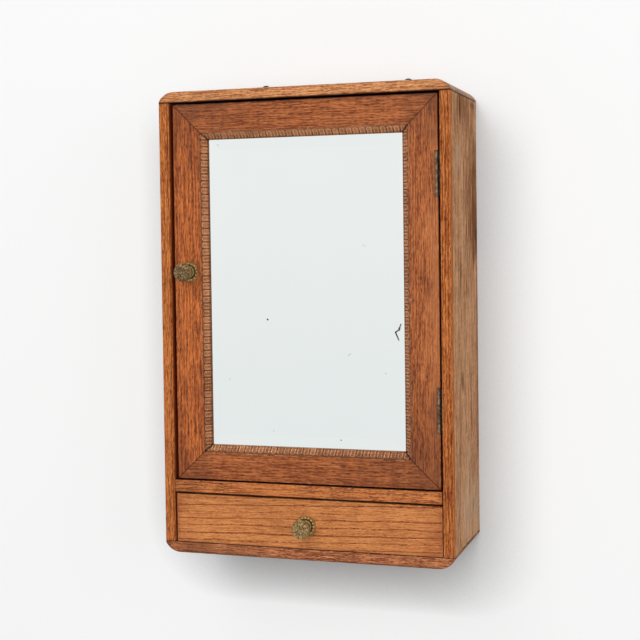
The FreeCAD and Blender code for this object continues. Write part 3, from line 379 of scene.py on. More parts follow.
def weathered(outer_x, outer_reach=0.0012, along="Z", stains=()):
    """The layer that fades what lies within a reach of the outer face at outer_x, up to an uneven edge at the
    front. A face with stains keeps some of the old red there, painted brighter as a highlight."""
    def layer(tree, place, colour):
        parts = parted(tree, place)
        faded = figure(tree, place, along, weathered_across, **weathered_look)["Color"]
        for (stain_y, stain_z), (half_y, half_z), depth, tint in stains:
            stained = spotted((outer_x, stain_y, stain_z), (1.0, half_y, half_z), depth, tint)
            faded = stained(tree, place, faded)
        off_face = calc(tree, "ABSOLUTE", calc(tree, "SUBTRACT", parts[0], outer_x))
        on_face = step(tree, off_face, outer_reach, outer_reach * 0.4)
        waves = cloudy(tree, place, (60.0, 60.0, 9.0), 3.0)
        uneven_front = calc(tree, "MULTIPLY_ADD", waves, -fade_ragged, parts[1])
        outside = calc(tree, "MULTIPLY", on_face, step(tree, uneven_front, fade_start, fade_full))
        if stains:
            colour = laid(tree, on_face, arris_depth, colour, old_red_and_highlight)
        return mixed(tree, outside, colour, faded)
    return layer


upward = (0, 0, 1)
upside_down = side_low.z + side_high.z
turned_stains = [((stain_y, upside_down - stain_z), *tint) for (stain_y, stain_z), *tint in side_stains]
# Each side's face at the door's gap gets painted shade in a colour of its own.
for node, seed, outer_x, inner_x, stains, shade_colour in (
        ("side_left", 1.3, cad_box[0].x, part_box("side_left")[1].x, turned_stains, shade(140, 58, 28)),
        ("side_right", 2.9, cad_box[1].x, side_low.x, side_stains, shade(56, 29, 20))):
    layers = [weathered(outer_x, stains=stains), shaded_gap("X", inner_x, shade_colour),
              dark_lined(side_high, upward, 0.0016, 0.85), dark_lined(side_low, upward, 0.0016, 0.75)]
    dress_board(node, "Z", {**carcass_look, "Seed": seed, "Pith": (0.0, 0.05, 0.3)}, carcass_rubbed,
                carcass_soiled, layers, shine=weathered_shine, rim=0.08, wear=0.3)

end_reach, end_soil = 0.007, shade(104, 58, 33)


def over_the_sides(level):
    """The layers of the top or the bottom board: its faded ends, painted shade at the gap at one level, and
    its soiled ends.
    """
    ends = (cad_box[0].x, cad_box[1].x)
    soil = [spotted((end_x, -0.06, level), (0.010, 0.3, 0.03), 0.55, end_soil) for end_x in ends]
    return [*[weathered(end_x, end_reach, "X") for end_x in ends], shaded_gap("Z", level), *soil]


# The top board's dark line along its lower face is dirt in the joints over the sides, and along the front,
# above the door's gap, painted shade.
dress_board("top_board", "X", {**carcass_look, "Seed": 4.7, "Pith": (0.0, 0.05, -0.2), "Bend": 0.02,
                               "Streak": 1.9, "Pale": shade(236, 166, 108), "Deep": shade(164, 94, 52),
                               "Pore": shade(116, 62, 34)}, shade(240, 188, 138), carcass_soiled,
            [*over_the_sides(side_high.z), dark_lined(side_high, upward, 0.0020, 0.85)], rim=0.35)
# Along the bottom board's lower front arris lies a soft band of painted shade.
dress_board("bottom_board", "X", {**carcass_look, "Seed": 5.9, "Pith": (0.0, 0.05, -0.2), "Streak": 2.1,
                                  "Pale": shade(222, 142, 92), "Deep": shade(126, 64, 38)},
            shade(222, 168, 124), carcass_soiled,
            [*over_the_sides(side_low.z),
             spotted((-0.14, cad_front, side_low.z), (0.1, 1.0, 0.1), 0.6, carcass_soiled),
             dark_lined(cad_box[0], upward, 0.0040, 0.5), dark_lined(side_low, upward, 0.0010, 0.5)],
            rim=0.2, scratch=0.9)
divider_low, divider_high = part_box("divider_board")
# The dark line along the divider's lower front arris, above the drawer's gap, is painted shade.
dress_board("divider_board", "X", {**carcass_look, "Seed": 7.1, "Pith": (0.0, 0.05, -0.3), "Streak": 1.7},
            carcass_rubbed, carcass_soiled,
            [spotted((-0.165, cad_front, divider_low.z), (0.05, 1.0, 0.1), 0.3, carcass_soiled),
             spotted((-0.04, cad_front, divider_low.z), (0.05, 1.0, 0.1), 0.3, shade(232, 140, 74)),
             shaded_gap("Z", divider_low.z), shaded_gap("Z", divider_high.z),
             dark_lined(divider_low, upward, 0.0014, 0.7)], rim=0.15)


# Back and fixings of the carcass: a thin panel nailed into rebates, dowels in the board ends, and two iron
# plates let into the back of the top board, with ears that take the wall screws.
inner_rubbed = shade(214, 178, 132)
inner_soiled = shade(112, 76, 46)
inner_look = {"Pale": shade(196, 156, 108), "Deep": shade(158, 112, 70), "Pore": shade(120, 80, 48),
              "Ring Width": 0.006, "Band": 0.6, "Bend": 0.03, "Ring Depth": 0.4, "Pore Depth": 0.2,
              "Streak": 0.8}


def dress_softwood(node, along, seed, pith, **change):
    """Gives a CAD board the bare softwood of the hidden pieces."""
    look = {**inner_look, "Seed": seed, "Pith": pith, **change}
    dress_board(node, along, look, inner_rubbed, inner_soiled)


dress_softwood("back_panel", "Z", 8.3, (0.0, 0.16, 0.02), Pale=shade(178, 134, 90), Deep=shade(138, 94, 58))
dress_softwood("carcass_dowels", "Z", 0.4, (0.0, 0.1, 0.1))

# Old metal: bright where it is rubbed, dull in between, with darker spots of tarnish.
tarnish, take, give = new_group(
    "tarnish", {"Position": "Vector", "Bright": "Color", "Dull": "Color", "Spot": "Color"},
    {"Color": "Color", "Roughness": "Float", "Height": "Float"})
film = cloudy(tarnish, take["Position"], (260.0, 260.0, 260.0), 4.0)
spots = step(tarnish, cloudy(tarnish, take["Position"], (900.0, 900.0, 900.0), 3.0), 0.55, 0.68)
old = mixed(tarnish, step(tarnish, film, 0.35, 0.65), take["Bright"], take["Dull"])
tarnish.links.new(laid(tarnish, spots, 0.8, old, take["Spot"]), give["Color"])
tarnish.links.new(calc(tarnish, "MULTIPLY_ADD", film, 0.5, 0.2), give["Roughness"])
tarnish.links.new(calc(tarnish, "MULTIPLY_ADD", spots, -0.6, film), give["Height"])


def metal_material(name, bright, dull, spot, layers=()):
    """Old metal of one finish, with further layers of its own as on a board."""
    material, tree, place = new_material(name)
    aged = put(tree, "Group", {"Position": place, "Bright": bright, "Dull": dull, "Spot": spot},
               node_tree=tarnish).outputs
    colour = aged["Color"]
    for layer in layers:
        colour = layer(tree, place, colour)
    bump = put(tree, "Bump", {"Strength": 0.3, "Distance": 0.0002, "Height": aged["Height"]}).outputs[0]
    surface = put(tree, "BsdfPrincipled", {"Base Color": colour, "Metallic": 0.9,
                                           "Roughness": aged["Roughness"], "Normal": bump})
    put(tree, "OutputMaterial", {"Surface": surface.outputs[0]})
    return material


dark_iron = metal_material("dark_iron_metal", shade(88, 82, 76), shade(48, 44, 40), shade(70, 42, 26))
for node in ("back_panel_nails", "hanger_plate_left", "hanger_plate_right", "hanger_screws"):
    coat(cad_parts[node], dark_iron)


# Inside of the case: one shelf on two screwed cleats, a strip that the door shuts against with the latch's
# keeper plate on it, and two blocks that stop the drawer. Plain softwood, left bare, with steel screws.
for node, along, seed in (("shelf", "X", 9.1), ("shelf_cleat_left", "Y", 9.9),
                          ("shelf_cleat_right", "Y", 10.7), ("door_stop_strip", "Z", 11.3),
                          ("drawer_stop_blocks", "X", 12.1)):
    dress_softwood(node, along, seed, (0.0, 0.03, 0.2))
steel = metal_material("worn_steel_metal", shade(168, 162, 152), shade(112, 106, 98), shade(82, 58, 40))
for node in ("cleat_screws", "latch_keeper", "keeper_screws"):
    coat(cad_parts[node], steel)


# Butt hinges on the right: two steel leaves with five knuckles and a pin, let into the side and the door,
# each held by three countersunk screws.
pin_low, pin_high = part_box("hinge_upper_pin")
hinge_axis_x = pin_low.lerp(pin_high, 0.5).x
# Where the painted shade on the knuckles starts and is full, along X and along Y.
shade_beside = (hinge_axis_x + 0.0003, hinge_axis_x + 0.0018)
shade_forward = (-0.1445, -0.1455)


def knuckles_shaded(tree, place, colour):
    """The layer of painted shade on the side of the knuckles that faces the gap, as far back as the door's
    front.
    """
    parts = parted(tree, place)
    in_gap = calc(tree, "MULTIPLY", step(tree, parts[0], *shade_beside), step(tree, parts[1], *shade_forward))
    return laid(tree, in_gap, gap_shade_depth, colour, gap_shade)


hinge_steel = metal_material("hinge_steel_metal", shade(152, 130, 106), shade(92, 70, 52), shade(52, 35, 24),
                             [knuckles_shaded])
for node in ("hinge_upper_side_leaf", "hinge_lower_side_leaf", "hinge_upper_pin", "hinge_lower_pin",
             "hinge_side_screws", "hinge_upper_door_leaf", "hinge_lower_door_leaf", "hinge_door_screws"):
    coat(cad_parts[node], hinge_steel)


# Door frame: two stiles and two rails of oak, mitred at the corners and dowelled, stained a redder brown than
# the case. The mitres have opened a little and hold dirt, the outer corners are darkest, and the right stile is
# rubbed paler along its outer edge.
door_rubbed = shade(210, 140, 96)
door_soiled = shade(92, 42, 24)
door_look = {"Pale": shade(200, 118, 66), "Deep": shade(122, 58, 30), "Pore": shade(76, 34, 19),
             "Ring Width": 0.0031, "Band": 0.5, "Bend": 0.009, "Ring Depth": 0.3, "Pore Depth": 0.7,
             "Streak": 1.3}
stile_low, stile_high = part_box("door_stile_left")
far_stile_low, far_stile_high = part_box("door_stile_right")
opening_low = Vector((stile_high.x, 0.0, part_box("door_rail_bottom")[1].z))
opening_high = Vector((far_stile_low.x, 0.0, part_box("door_rail_top")[0].z))
# Each corner's outer and inner point along X and Z, how far and how deeply it is darkened, and how dark the
# dirt in its mitre is.
door_corners = {
    "top_left": ((stile_low.x, stile_high.z), (opening_low.x, opening_high.z), 0.105, 0.5, 0.85),
    "bottom_left": ((stile_low.x, stile_low.z), (opening_low.x, opening_low.z), 0.055, 0.45, 0.85),
    "top_right": ((far_stile_high.x, stile_high.z), (opening_high.x, opening_high.z), 0.055, 0.6, 0.5),
    "bottom_right": ((far_stile_high.x, stile_low.z), (opening_high.x, opening_low.z), 0.140, 0.42, 0.85),
}
corner_brown = shade(84, 46, 32)
mitre_width = 0.0009


def mitred(corner):
    """The layers of one corner: its darkened wood, and the dirt in its mitre."""
    (outer_x, outer_z), (inner_x, inner_z), reach, depth, line_depth = door_corners[corner]
    normal = Vector((inner_z - outer_z, 0.0, outer_x - inner_x)).normalized()
    return [spotted((outer_x, stile_low.y, outer_z), (reach, 1.0, reach), depth, corner_brown),
            dark_lined((outer_x, 0.0, outer_z), normal, mitre_width, line_depth)]


middle_z = (stile_low.z + stile_high.z) / 2
handled = spotted((far_stile_high.x, stile_low.y, middle_z), (0.018, 1.0, 0.26), 0.4, shade(214, 136, 84))
# A thin painted shadow along the door's top arris, where the front edge of the top board shades it.
top_arris = Vector((0.0, stile_low.y, stile_high.z))
top_edge_shadow = dark_lined(top_arris, (0, -0.7, 0.7), 0.0016, 0.85)
for node, along, seed, corners in (
        ("door_stile_left", "Z", 13.1, ("top_left", "bottom_left")),
        ("door_stile_right", "Z", 14.3, ("top_right", "bottom_right")),
        ("door_rail_top", "X", 15.7, ("top_left", "top_right")),
        ("door_rail_bottom", "X", 16.9, ("bottom_left", "bottom_right"))):
    pith = (0.0, 0.02, 0.3) if along == "Z" else (0.0, 0.02, -0.7)
    pale = shade(220, 123, 61) if node == "door_stile_left" else door_look["Pale"]
    dress_board(node, along, {**door_look, "Pale": pale, "Seed": seed, "Pith": pith}, door_rubbed,
                door_soiled, [handled, *mitred(corners[0]), *mitred(corners[1]), top_edge_shadow], reach=0.0013,
                rim=0.15 if node == "door_stile_right" else 0.3)
dress_softwood("door_mitre_dowels", "X", 0.9, (0.0, 0.1, 0.1))


# Bead moulding round the glass: four strips of oak, mitred, planed to a slope and carved with a row of small
# arches, round towards the frame and open towards the glass. The stain has worn off the crests, which also
# carry a painted highlight; the hollows and the quirk hold dirt and painted shade, and the lip painted shade.
def skin(name, points, joined_ends=False):
    """A closed mesh from a grid of points, whose columns close on themselves. The first and last rows are
    joined to each other or each closed by one face."""
    rows, columns = points.shape[:2]
    down = np.arange(rows if joined_ends else rows - 1)[:, None]
    over = np.arange(columns)[None, :]
    next_down, next_over = (down + 1) % rows, (over + 1) % columns
    quads = np.stack(np.broadcast_arrays(down * columns + over, down * columns + next_over,
                                         next_down * columns + next_over, next_down * columns + over), -1)
    faces = quads.reshape(-1, 4).tolist()
    if not joined_ends:
        faces += [list(range(columns))[::-1], list(range((rows - 1) * columns, rows * columns))]
    mesh = bpy.data.meshes.new(name)
    mesh.from_pydata(points.reshape(-1, 3), [], faces)
    mesh.polygons.foreach_set("use_smooth", np.ones(len(mesh.polygons), bool))
    mesh.set_sharp_from_angle(angle=math.radians(50))
    piece = bpy.data.objects.new(name, mesh)
    bpy.context.scene.collection.objects.link(piece)
    return piece


def remember(piece, name, values):
    """Keeps one value for each point of a piece, for its material."""
    kept = piece.data.attributes.new(name, "FLOAT", "POINT")
    kept.data.foreach_set("value", values.astype(np.float32).ravel())


def ease(values, start, end):
    """Goes smoothly from 0 at start to 1 at end."""
    part = np.clip((values - start) / (end - start), 0, 1)
    return part * part * (3 - 2 * part)


bead_low, bead_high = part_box("bead_left")
bead_width = bead_high.x - bead_low.x
bead_depth = bead_high.y - bead_low.y
bead_pitch = 0.0082
# The arches: how far across the bead the round end's centre is and how flat that end is, then how far the
# rim's spine lies from the middle line and half the rim's width.
arch_centre, arch_squash = 0.0030, 2.6
arch_spine, arch_half = 0.00250, 0.00118
quirk_width, quirk_depth = 0.0010, 0.0010
slope_bow = 1.12
carving_depth = 0.0012
lip_depth = 0.0012
# Where the lip's painted shade starts and is full across the bead; then the most soil a unit gets, and the dirt
# and painted shade in the quirk.
lip_shade_start, lip_shade_full = bead_width - 0.0017, bead_width - 0.0007
unit_soil, quirk_dirt_and_shade = 0.3, 0.55
steps_across = 32
steps_along_unit = 20


def carved_bead(name, corner, along, inward, length, arch_groove, lip_shade):
    """Carries the bead's section along one side of the opening. Across, the surface rises from a quirk at the
    frame to a crest and slopes to a lip at the glass. Along it, each pitch has one arch: a round rim that
    follows half an ellipse at the frame and two straight legs to the glass, with a groove inside; what lies
    outside the rim is cut down further. Each unit is soiled by a share worked out from its number; the quirk
    holds dirt and painted shade, and the lip painted shade by a share of its own. Both ends are mitred."""
    across = np.linspace(0, 1, steps_across)
    over = across * bead_width
    slope = np.clip((over - quirk_width) / (bead_width - quirk_width), 0, 1)
    quirk = quirk_depth * np.cos(np.pi / 2 * np.clip(over / quirk_width, 0, 1))
    depth = quirk + (bead_depth - lip_depth) * slope ** slope_bow
    over = np.append(over, [bead_width, 0.0])
    depth = np.append(depth, [bead_depth, bead_depth])
    slope = np.append(slope, [1.0, 0.0])
    cut = np.append((across > 0) * ease(slope[:-2], 0, 0.05) * ease(slope[:-2], 1.0, 0.96), [0.0, 0.0])
    share = np.linspace(0, 1, int(length / bead_pitch) * steps_along_unit)
    along_run = over + share[:, None] * (length - 2 * over)
    unit = (along_run - length / 2) / bead_pitch
    soil = unit_soil * (np.sin(np.round(unit) * 12.99 + length * 50) * 437.6 % 1) ** 2
    beside = (unit - np.round(unit)) * bead_pitch
    from_arch = np.hypot(beside, arch_squash * np.minimum(over - arch_centre, 0))
    rim = np.sqrt(np.clip(1 - ((from_arch - arch_spine) / arch_half) ** 2, 0, 1))
    groove = arch_groove * (1 - 0.4 * ease(slope, 0.55, 0.95))
    sunk = cut * (1 - rim) * np.where(from_arch < arch_spine, groove, 1.0)
    fall = math.atan2(bead_depth, bead_width)
    over_cut = over - carving_depth * sunk * math.sin(fall)
    depth_cut = depth + carving_depth * sunk * math.cos(fall)
    points = (np.array(corner) + along_run[..., None] * np.array(along)
              + over_cut[..., None] * np.array(inward) + depth_cut[..., None] * np.array((0.0, 1.0, 0.0)))
    piece = skin(name, points)
    lip = lip_shade * ease(over, lip_shade_start, lip_shade_full)
    # The kept value: how deep the carving is, with dirt and painted shade in the quirk, painted shade on the
    # lip, and each unit's soil.
    remember(piece, "hollow_shade_and_soil", np.clip(np.maximum(sunk, (slope == 0) * quirk_dirt_and_shade) + soil + lip, 0, 1))
    return piece


# Bare wood, painted lighter on the crests as a highlight; soil, which the bottom strip's band uses as painted
# shade; and dirt with painted shade for the hollows.
bead_wear_and_highlight = shade(216, 166, 130)
bead_soil_and_shade = shade(110, 66, 44)
bead_dirt_and_shade = shade(66, 34, 20)
crest_wear_and_highlight, hollow_dirt_and_shade = 0.35, 0.62
bead_look = {"Pale": shade(228, 159, 110), "Deep": shade(166, 102, 65), "Pore": shade(104, 62, 40),
             "Ring Width": 0.004, "Band": 0.5, "Bend": 0.01, "Ring Depth": 0.3, "Pore Depth": 0.3,
             "Streak": 1.0}


def carving_shaded(tree, place, colour):
    """The layer of dirt and painted shade in what the carver cut away and in the quirk, of painted shade on the
    lip, and of bare wood with a painted highlight on the crests.
    """
    sunk = put(tree, "Attribute", attribute_name="hollow_shade_and_soil").outputs["Fac"]
    colour = laid(tree, step(tree, sunk, 0.16, 0.0), crest_wear_and_highlight, colour, bead_wear_and_highlight)
    return laid(tree, step(tree, sunk, 0.15, 1.0), hollow_dirt_and_shade, colour, bead_dirt_and_shade)


far_corner = Vector((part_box("bead_right")[1].x, bead_low.y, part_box("bead_top")[1].z))
width_run, height_run = far_corner.x - bead_low.x, far_corner.z - bead_low.z
# Each strip's outer corner, the way it runs, the way to the glass, its length, how deep the grooves inside its
# arches are, and how much painted shade its lip gets. Along the frame the top strip has a band of painted
# highlight and the bottom strip a band of painted shade.
bead_runs = {
    "bead_left": ((bead_low.x, bead_low.y, bead_low.z), (0, 0, 1), (1, 0, 0), height_run, 0.5, 0.8),
    "bead_top": ((bead_low.x, bead_low.y, far_corner.z), (1, 0, 0), (0, 0, -1), width_run, 0.5, 0.5),
    "bead_right": ((far_corner.x, bead_low.y, far_corner.z), (0, 0, -1), (-1, 0, 0), height_run, 0.7, 0.5),
    "bead_bottom": ((far_corner.x, bead_low.y, bead_low.z), (-1, 0, 0), (0, 0, 1), width_run, 0.7, 0.1),
}
# Bands along the frame: a painted highlight on the top strip, whose crest would face the light from above, and
# painted shade on the bottom strip.
bead_bands = {
    "bead_top": [spotted((0.0, bead_low.y, far_corner.z - 0.0022), (0.4, 1.0, 0.0026), 0.25,
                         shade(244, 176, 122))],
    "bead_bottom": [spotted((0.0, bead_low.y, bead_low.z + 0.0014), (0.4, 1.0, 0.0028), 0.4, bead_soil_and_shade)],
}
bead_mitre_width, bead_mitre_depth = 0.0016, 0.95
for index, (node, run) in enumerate(bead_runs.items()):
    piece = carved_bead(node + "_carved", *run)
    grain = "Z" if run[1][2] else "X"
    pale = shade(234, 168, 121) if node == "bead_bottom" else bead_look["Pale"]
    look = {**bead_look, "Pale": pale, "Seed": 20.0 + index, "Pith": (0.0, 0.05, 0.3)}
    start, along, inward, length = (np.array(part) for part in run[:4])
    mitres = [dark_lined(tuple(corner), tuple(across / math.sqrt(2)), bead_mitre_width, bead_mitre_depth)
              for corner, across in ((start, along - inward), (start + along * length, along + inward))]
    piece.data.materials.append(board_material(
        node + "_wood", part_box(node), grain, look, bead_wear_and_highlight, bead_soil_and_shade,
        [carving_shaded, *bead_bands.get(node, ()), *mitres]))
    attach(piece, "door")
    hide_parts(node)


# Mirror: a sheet of plate glass, bevelled all round and silvered, held by a thin board and pinned strips. The
# silver has a few dark specks and one cracked flake near its right edge.
crack, take, give = new_group(
    "crack", {"Position": "Vector", "Start": "Vector", "End": "Vector", "Width": "Float"}, {"Mask": "Float"})
from_start = aim(crack, "SUBTRACT", take["Position"], take["Start"])
whole = aim(crack, "SUBTRACT", take["End"], take["Start"])
dot_along = measured(crack, "DOT_PRODUCT", from_start, whole)
dot_whole = measured(crack, "DOT_PRODUCT", whole, whole)
passed = put(crack, "Clamp", {0: calc(crack, "DIVIDE", dot_along, dot_whole)}).outputs[0]
gone = put(crack, "VectorMath", {0: whole, "Scale": passed}, operation="SCALE").outputs[0]
away = measured(crack, "LENGTH", aim(crack, "SUBTRACT", from_start, gone))
rough_edge = calc(crack, "MULTIPLY", take["Width"], cloudy(crack, take["Position"], (700.0, 700.0, 700.0)))
crack.links.new(step(crack, calc(crack, "SUBTRACT", away, rough_edge), take["Width"], 0.0), give["Mask"])

glass_low, glass_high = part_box("mirror_glass")
sight_low = Vector((bead_low.x + bead_width, 0.0, bead_low.z + bead_width))
sight_high = Vector((far_corner.x - bead_width, 0.0, far_corner.z - bead_width))
# Each flaw in the silver has a start and an end along X and Z, its half width, and how dark it is.
silver_flaws = (
    ((0.1167, -0.2928), (0.1148, -0.2982), 0.0009, 1.0),
    ((0.1150, -0.2974), (0.1145, -0.2992), 0.0013, 0.7),
    ((0.1145, -0.2992), (0.1103, -0.3021), 0.0008, 1.0),
    ((0.1103, -0.3021), (0.1140, -0.3112), 0.0008, 1.0),
    ((-0.0475, -0.2880), (-0.0471, -0.2886), 0.0009, 1.0),
    ((0.0424, -0.4299), (0.0430, -0.4303), 0.0006, 0.9),
    ((-0.1085, -0.0778), (-0.1072, -0.0786), 0.0008, 0.3),
    ((0.0725, -0.2002), (0.0742, -0.2020), 0.0008, 0.12),
    ((0.0530, -0.3300), (0.0556, -0.3280), 0.0007, 0.25),
    ((0.0975, -0.3500), (0.0985, -0.3506), 0.0008, 0.2),
    ((-0.0972, -0.3600), (-0.0968, -0.3612), 0.0010, 0.12),
    ((-0.0420, -0.4214), (-0.0412, -0.4220), 0.0009, 0.15),
)
flaw_dark = shade(52, 44, 38)
# Colour of the painted reflection of the shaded rebate along the bead, and how deep it is laid.
rebate_reflection, rebate_reflection_depth = shade(70, 60, 52), 0.7
material, tree, place = new_material("silvered_glass")
haze = cloudy(tree, place, (7.0, 7.0, 7.0), 3.0)
colour = mixed(tree, haze, shade(242, 248, 247), shade(248, 251, 251))
for (start_x, start_z), (end_x, end_z), width, depth in silver_flaws:
    flaw = put(tree, "Group", {"Position": place, "Start": (start_x, glass_low.y, start_z),
                               "End": (end_x, glass_low.y, end_z), "Width": width},
               node_tree=crack).outputs[0]
    colour = laid(tree, flaw, depth, colour, flaw_dark)
# A thin dark line along the bead on each side is a painted reflection of the shaded rebate behind it.
parts = parted(tree, place)
for part, edge, reach in ((parts[0], sight_low.x, 0.0004), (parts[0], sight_high.x, -0.0006),
                          (parts[2], sight_high.z, -0.0002), (parts[2], sight_low.z, 0.0006)):
    reflected_rebate = step(tree, part, edge + reach, edge + reach * 0.5)
    colour = laid(tree, reflected_rebate, rebate_reflection_depth, colour, rebate_reflection)
# The silver is on the flat back, so the bevel turns a reflection the other way from its own slope, and half as
# far, as a thin glass wedge does. The bump takes the slope out and puts that turn in.
glass_index, bevel_width, bevel_drop = 1.52, 0.021, 0.0016
rise = []
for part, edge, inward in ((parts[0], glass_low.x, 1), (parts[0], glass_high.x, -1),
                           (parts[2], glass_low.z, 1), (parts[2], glass_high.z, -1)):
    from_edge = calc(tree, "MULTIPLY", calc(tree, "SUBTRACT", part, edge), inward)
    rise.append(calc(tree, "SUBTRACT", bevel_width, from_edge))
beyond = calc(tree, "MAXIMUM", calc(tree, "MAXIMUM", *rise[:2]), calc(tree, "MAXIMUM", *rise[2:]))
wedge = calc(tree, "MULTIPLY", calc(tree, "MAXIMUM", beyond, 0.0), glass_index * bevel_drop / bevel_width)
turned = put(tree, "Bump", {"Strength": 1.0, "Distance": 1.0, "Height": wedge}).outputs[0]
surface = put(tree, "BsdfPrincipled", {"Base Color": colour, "Metallic": 1.0, "Roughness": 0.03,
                                       "Normal": turned})
put(tree, "OutputMaterial", {"Surface": surface.outputs[0]})
coat(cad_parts["mirror_glass"], material)
dress_softwood("mirror_backing", "Z", 17.3, (0.0, 0.12, 0.0))
dress_softwood("backing_strips", "Z", 18.1, (0.0, 0.05, 0.3))
coat(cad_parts["strip_pins"], steel)


# Knobs and rosettes: stamped brass, once gilt, now a dull bronze. A plate with a rounded square outline and a
# ring of pearls lies on the wood under each knob, whose flattened head has two rings of leaves. The door's knob
# turns the latch behind it.
rosette_pearls = 16
outer_leaves, inner_leaves = 12, 6
turns = np.linspace(0, 2 * np.pi, 192, endpoint=False)[None, :]


def seated(node):
    """The middle of a round piece's back, its radius, and how far it stands forward."""
    low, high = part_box(node)
    return ((low.x + high.x) / 2, high.y, (low.z + high.z) / 2), (high.x - low.x) / 2, high.y - low.y


def facing(centre, rings_out, forward):
    """Points of a round piece that faces the front, from their distance to its axis and how far forward they
    stand."""
    return np.stack([centre[0] + rings_out * np.sin(turns), centre[1] - forward + 0 * turns,
                     centre[2] + rings_out * np.cos(turns)], -1)


def ridge(values, middle, half_width):
    """A rounded band: 1 along its middle, and falling off to both sides as a bell curve."""
    return np.exp(-((values - middle) / half_width) ** 2)


def rosette(name, node):
    """A pressed plate: from the hole, a flat seat, a round ring, a valley, a circle of pearls and a rolled rim,
    whose outline is a circle drawn out a little towards four corners; then the flat back."""
    centre, radius, height = seated(node)
    hole, seat_end, seat_foot = 0.0030, 0.0066, 0.0082
    ring_circle, valley_circle, pearl_circle, pearl_radius = 0.0067, 0.0083, 0.0103, 0.00135
    share = np.linspace(hole / radius, 1, 60)[:, None]
    out = share * radius
    square = 1 - 0.022 * (1 + np.cos(4 * turns))
    edge = out * (1 + (square - 1) * ease(share, 0.6, 1.0))
    pearl_turn = (turns / (2 * np.pi) * rosette_pearls + 0.5) % 1 - 0.5
    beside = edge * np.sin(pearl_turn * 2 * np.pi / rosette_pearls)
    off_pearl = np.hypot(beside, edge - pearl_circle * square)
    pearl = np.sqrt(np.clip(1 - (off_pearl / pearl_radius) ** 2, 0, 1))
    ring = ridge(out, ring_circle, 0.0007)
    rim = ridge(share, 0.95, 0.03)
    base = 0.84 - 0.58 * ease(out, seat_end, seat_foot)
    pressed = base + 0.16 * ring + 0.45 * pearl + 0.26 * rim - 0.2 * ease(share, 0.97, 1.0)
    pressed = np.clip(pressed, 0.05, 1.0)
    front = facing(centre, edge, height * pressed)
    back = facing(centre, edge[[-1, 0]], np.zeros((2, 1)))
    piece = skin(name, np.concatenate([front, back]), joined_ends=True)
    low_parts = 0.6 - 0.75 * pressed + 0.7 * ridge(out, valley_circle, 0.0008)
    remember(piece, "relief", np.concatenate([low_parts, np.ones((2, turns.size))]))
    return piece


def knob(name, node):
    """A turned knob: from the bottom of its bore out to the seat, up a collar and a neck, and over a flattened
    ball, whose section is a superellipse. Its front is sunk between an outer ring of leaves, an inner one and a
    boss."""
    centre, head_radius, reach = seated(node)
    head_half = 0.0055
    foot, collar, neck, tip = 0.0052, 0.0050, 0.0042, 0.00002
    bore, bore_depth = 0.0025, 0.0120
    collar_top, neck_start, neck_end = 0.0010, 0.0024, reach - 2 * head_half + 0.0006
    leaf_depth, shank_relief = 0.0007, 0.5
    turned_out = np.array([tip, bore, bore, foot, collar, neck, neck])
    turned_up = np.array([bore_depth, bore_depth, 0.0, 0.0, collar_top, neck_start, neck_end])
    around = np.linspace(0.42, np.pi - 0.003, 90)[:, None]
    share = np.sin(around) ** 0.82
    rise = np.sign(np.cos(around)) * np.abs(np.cos(around)) ** 0.9
    front = ease(around, np.pi * 0.52, np.pi * 0.58)
    curl = turns + 0.5 * (1 - share)
    outer = np.abs(np.cos(outer_leaves / 2 * curl))
    inner = np.abs(np.cos(inner_leaves / 2 * curl + 0.4))
    outer_zone = ease(share, 0.44, 0.5) * ease(share, 0.97, 0.9)
    inner_zone = ease(share, 0.14, 0.2) * ease(share, 0.46, 0.42)
    sunk = outer_zone * (0.9 * ease(outer, 0.55, 0.1) + 0.5 * ease(outer, 0.985, 1.0))
    sunk = sunk + inner_zone * (0.8 * ease(inner, 0.5, 0.1) + 0.4 * ease(inner, 0.985, 1.0))
    for groove, width in ((0.47, 0.03), (0.17, 0.03), (0.94, 0.022)):
        sunk = sunk + 0.7 * ridge(share, groove, width)
    waist = ridge(around, np.pi * 0.46, 0.05)
    sunk = np.clip(front * sunk + 0.6 * waist + 0 * turns, 0, 1)
    cut = leaf_depth * sunk
    out = np.maximum(head_radius * share - cut * share ** 3, tip)
    up = reach - head_half - head_half * rise + cut * rise
    shank = facing(centre, turned_out[:, None] + 0 * turns, turned_up[:, None] + 0 * turns)
    piece = skin(name, np.concatenate([shank, facing(centre, out, up)]))
    remember(piece, "relief", np.concatenate([np.full(shank.shape[:2], shank_relief), sunk]))
    return piece


def relief_darkened(tree, place, colour):
    """The layer that leaves old lacquer and dirt in the low parts of the relief."""
    low_parts = step(tree, put(tree, "Attribute", attribute_name="relief").outputs["Fac"], 0.15, 0.85)
    return laid(tree, low_parts, 0.8, colour, shade(50, 36, 22))


door_brass = metal_material("door_brass_metal", shade(158, 130, 92), shade(112, 88, 60), shade(88, 70, 46),
                            [relief_darkened])
drawer_brass = metal_material("drawer_brass_metal", shade(186, 156, 106), shade(140, 112, 74),
                              shade(104, 84, 54), [relief_darkened])
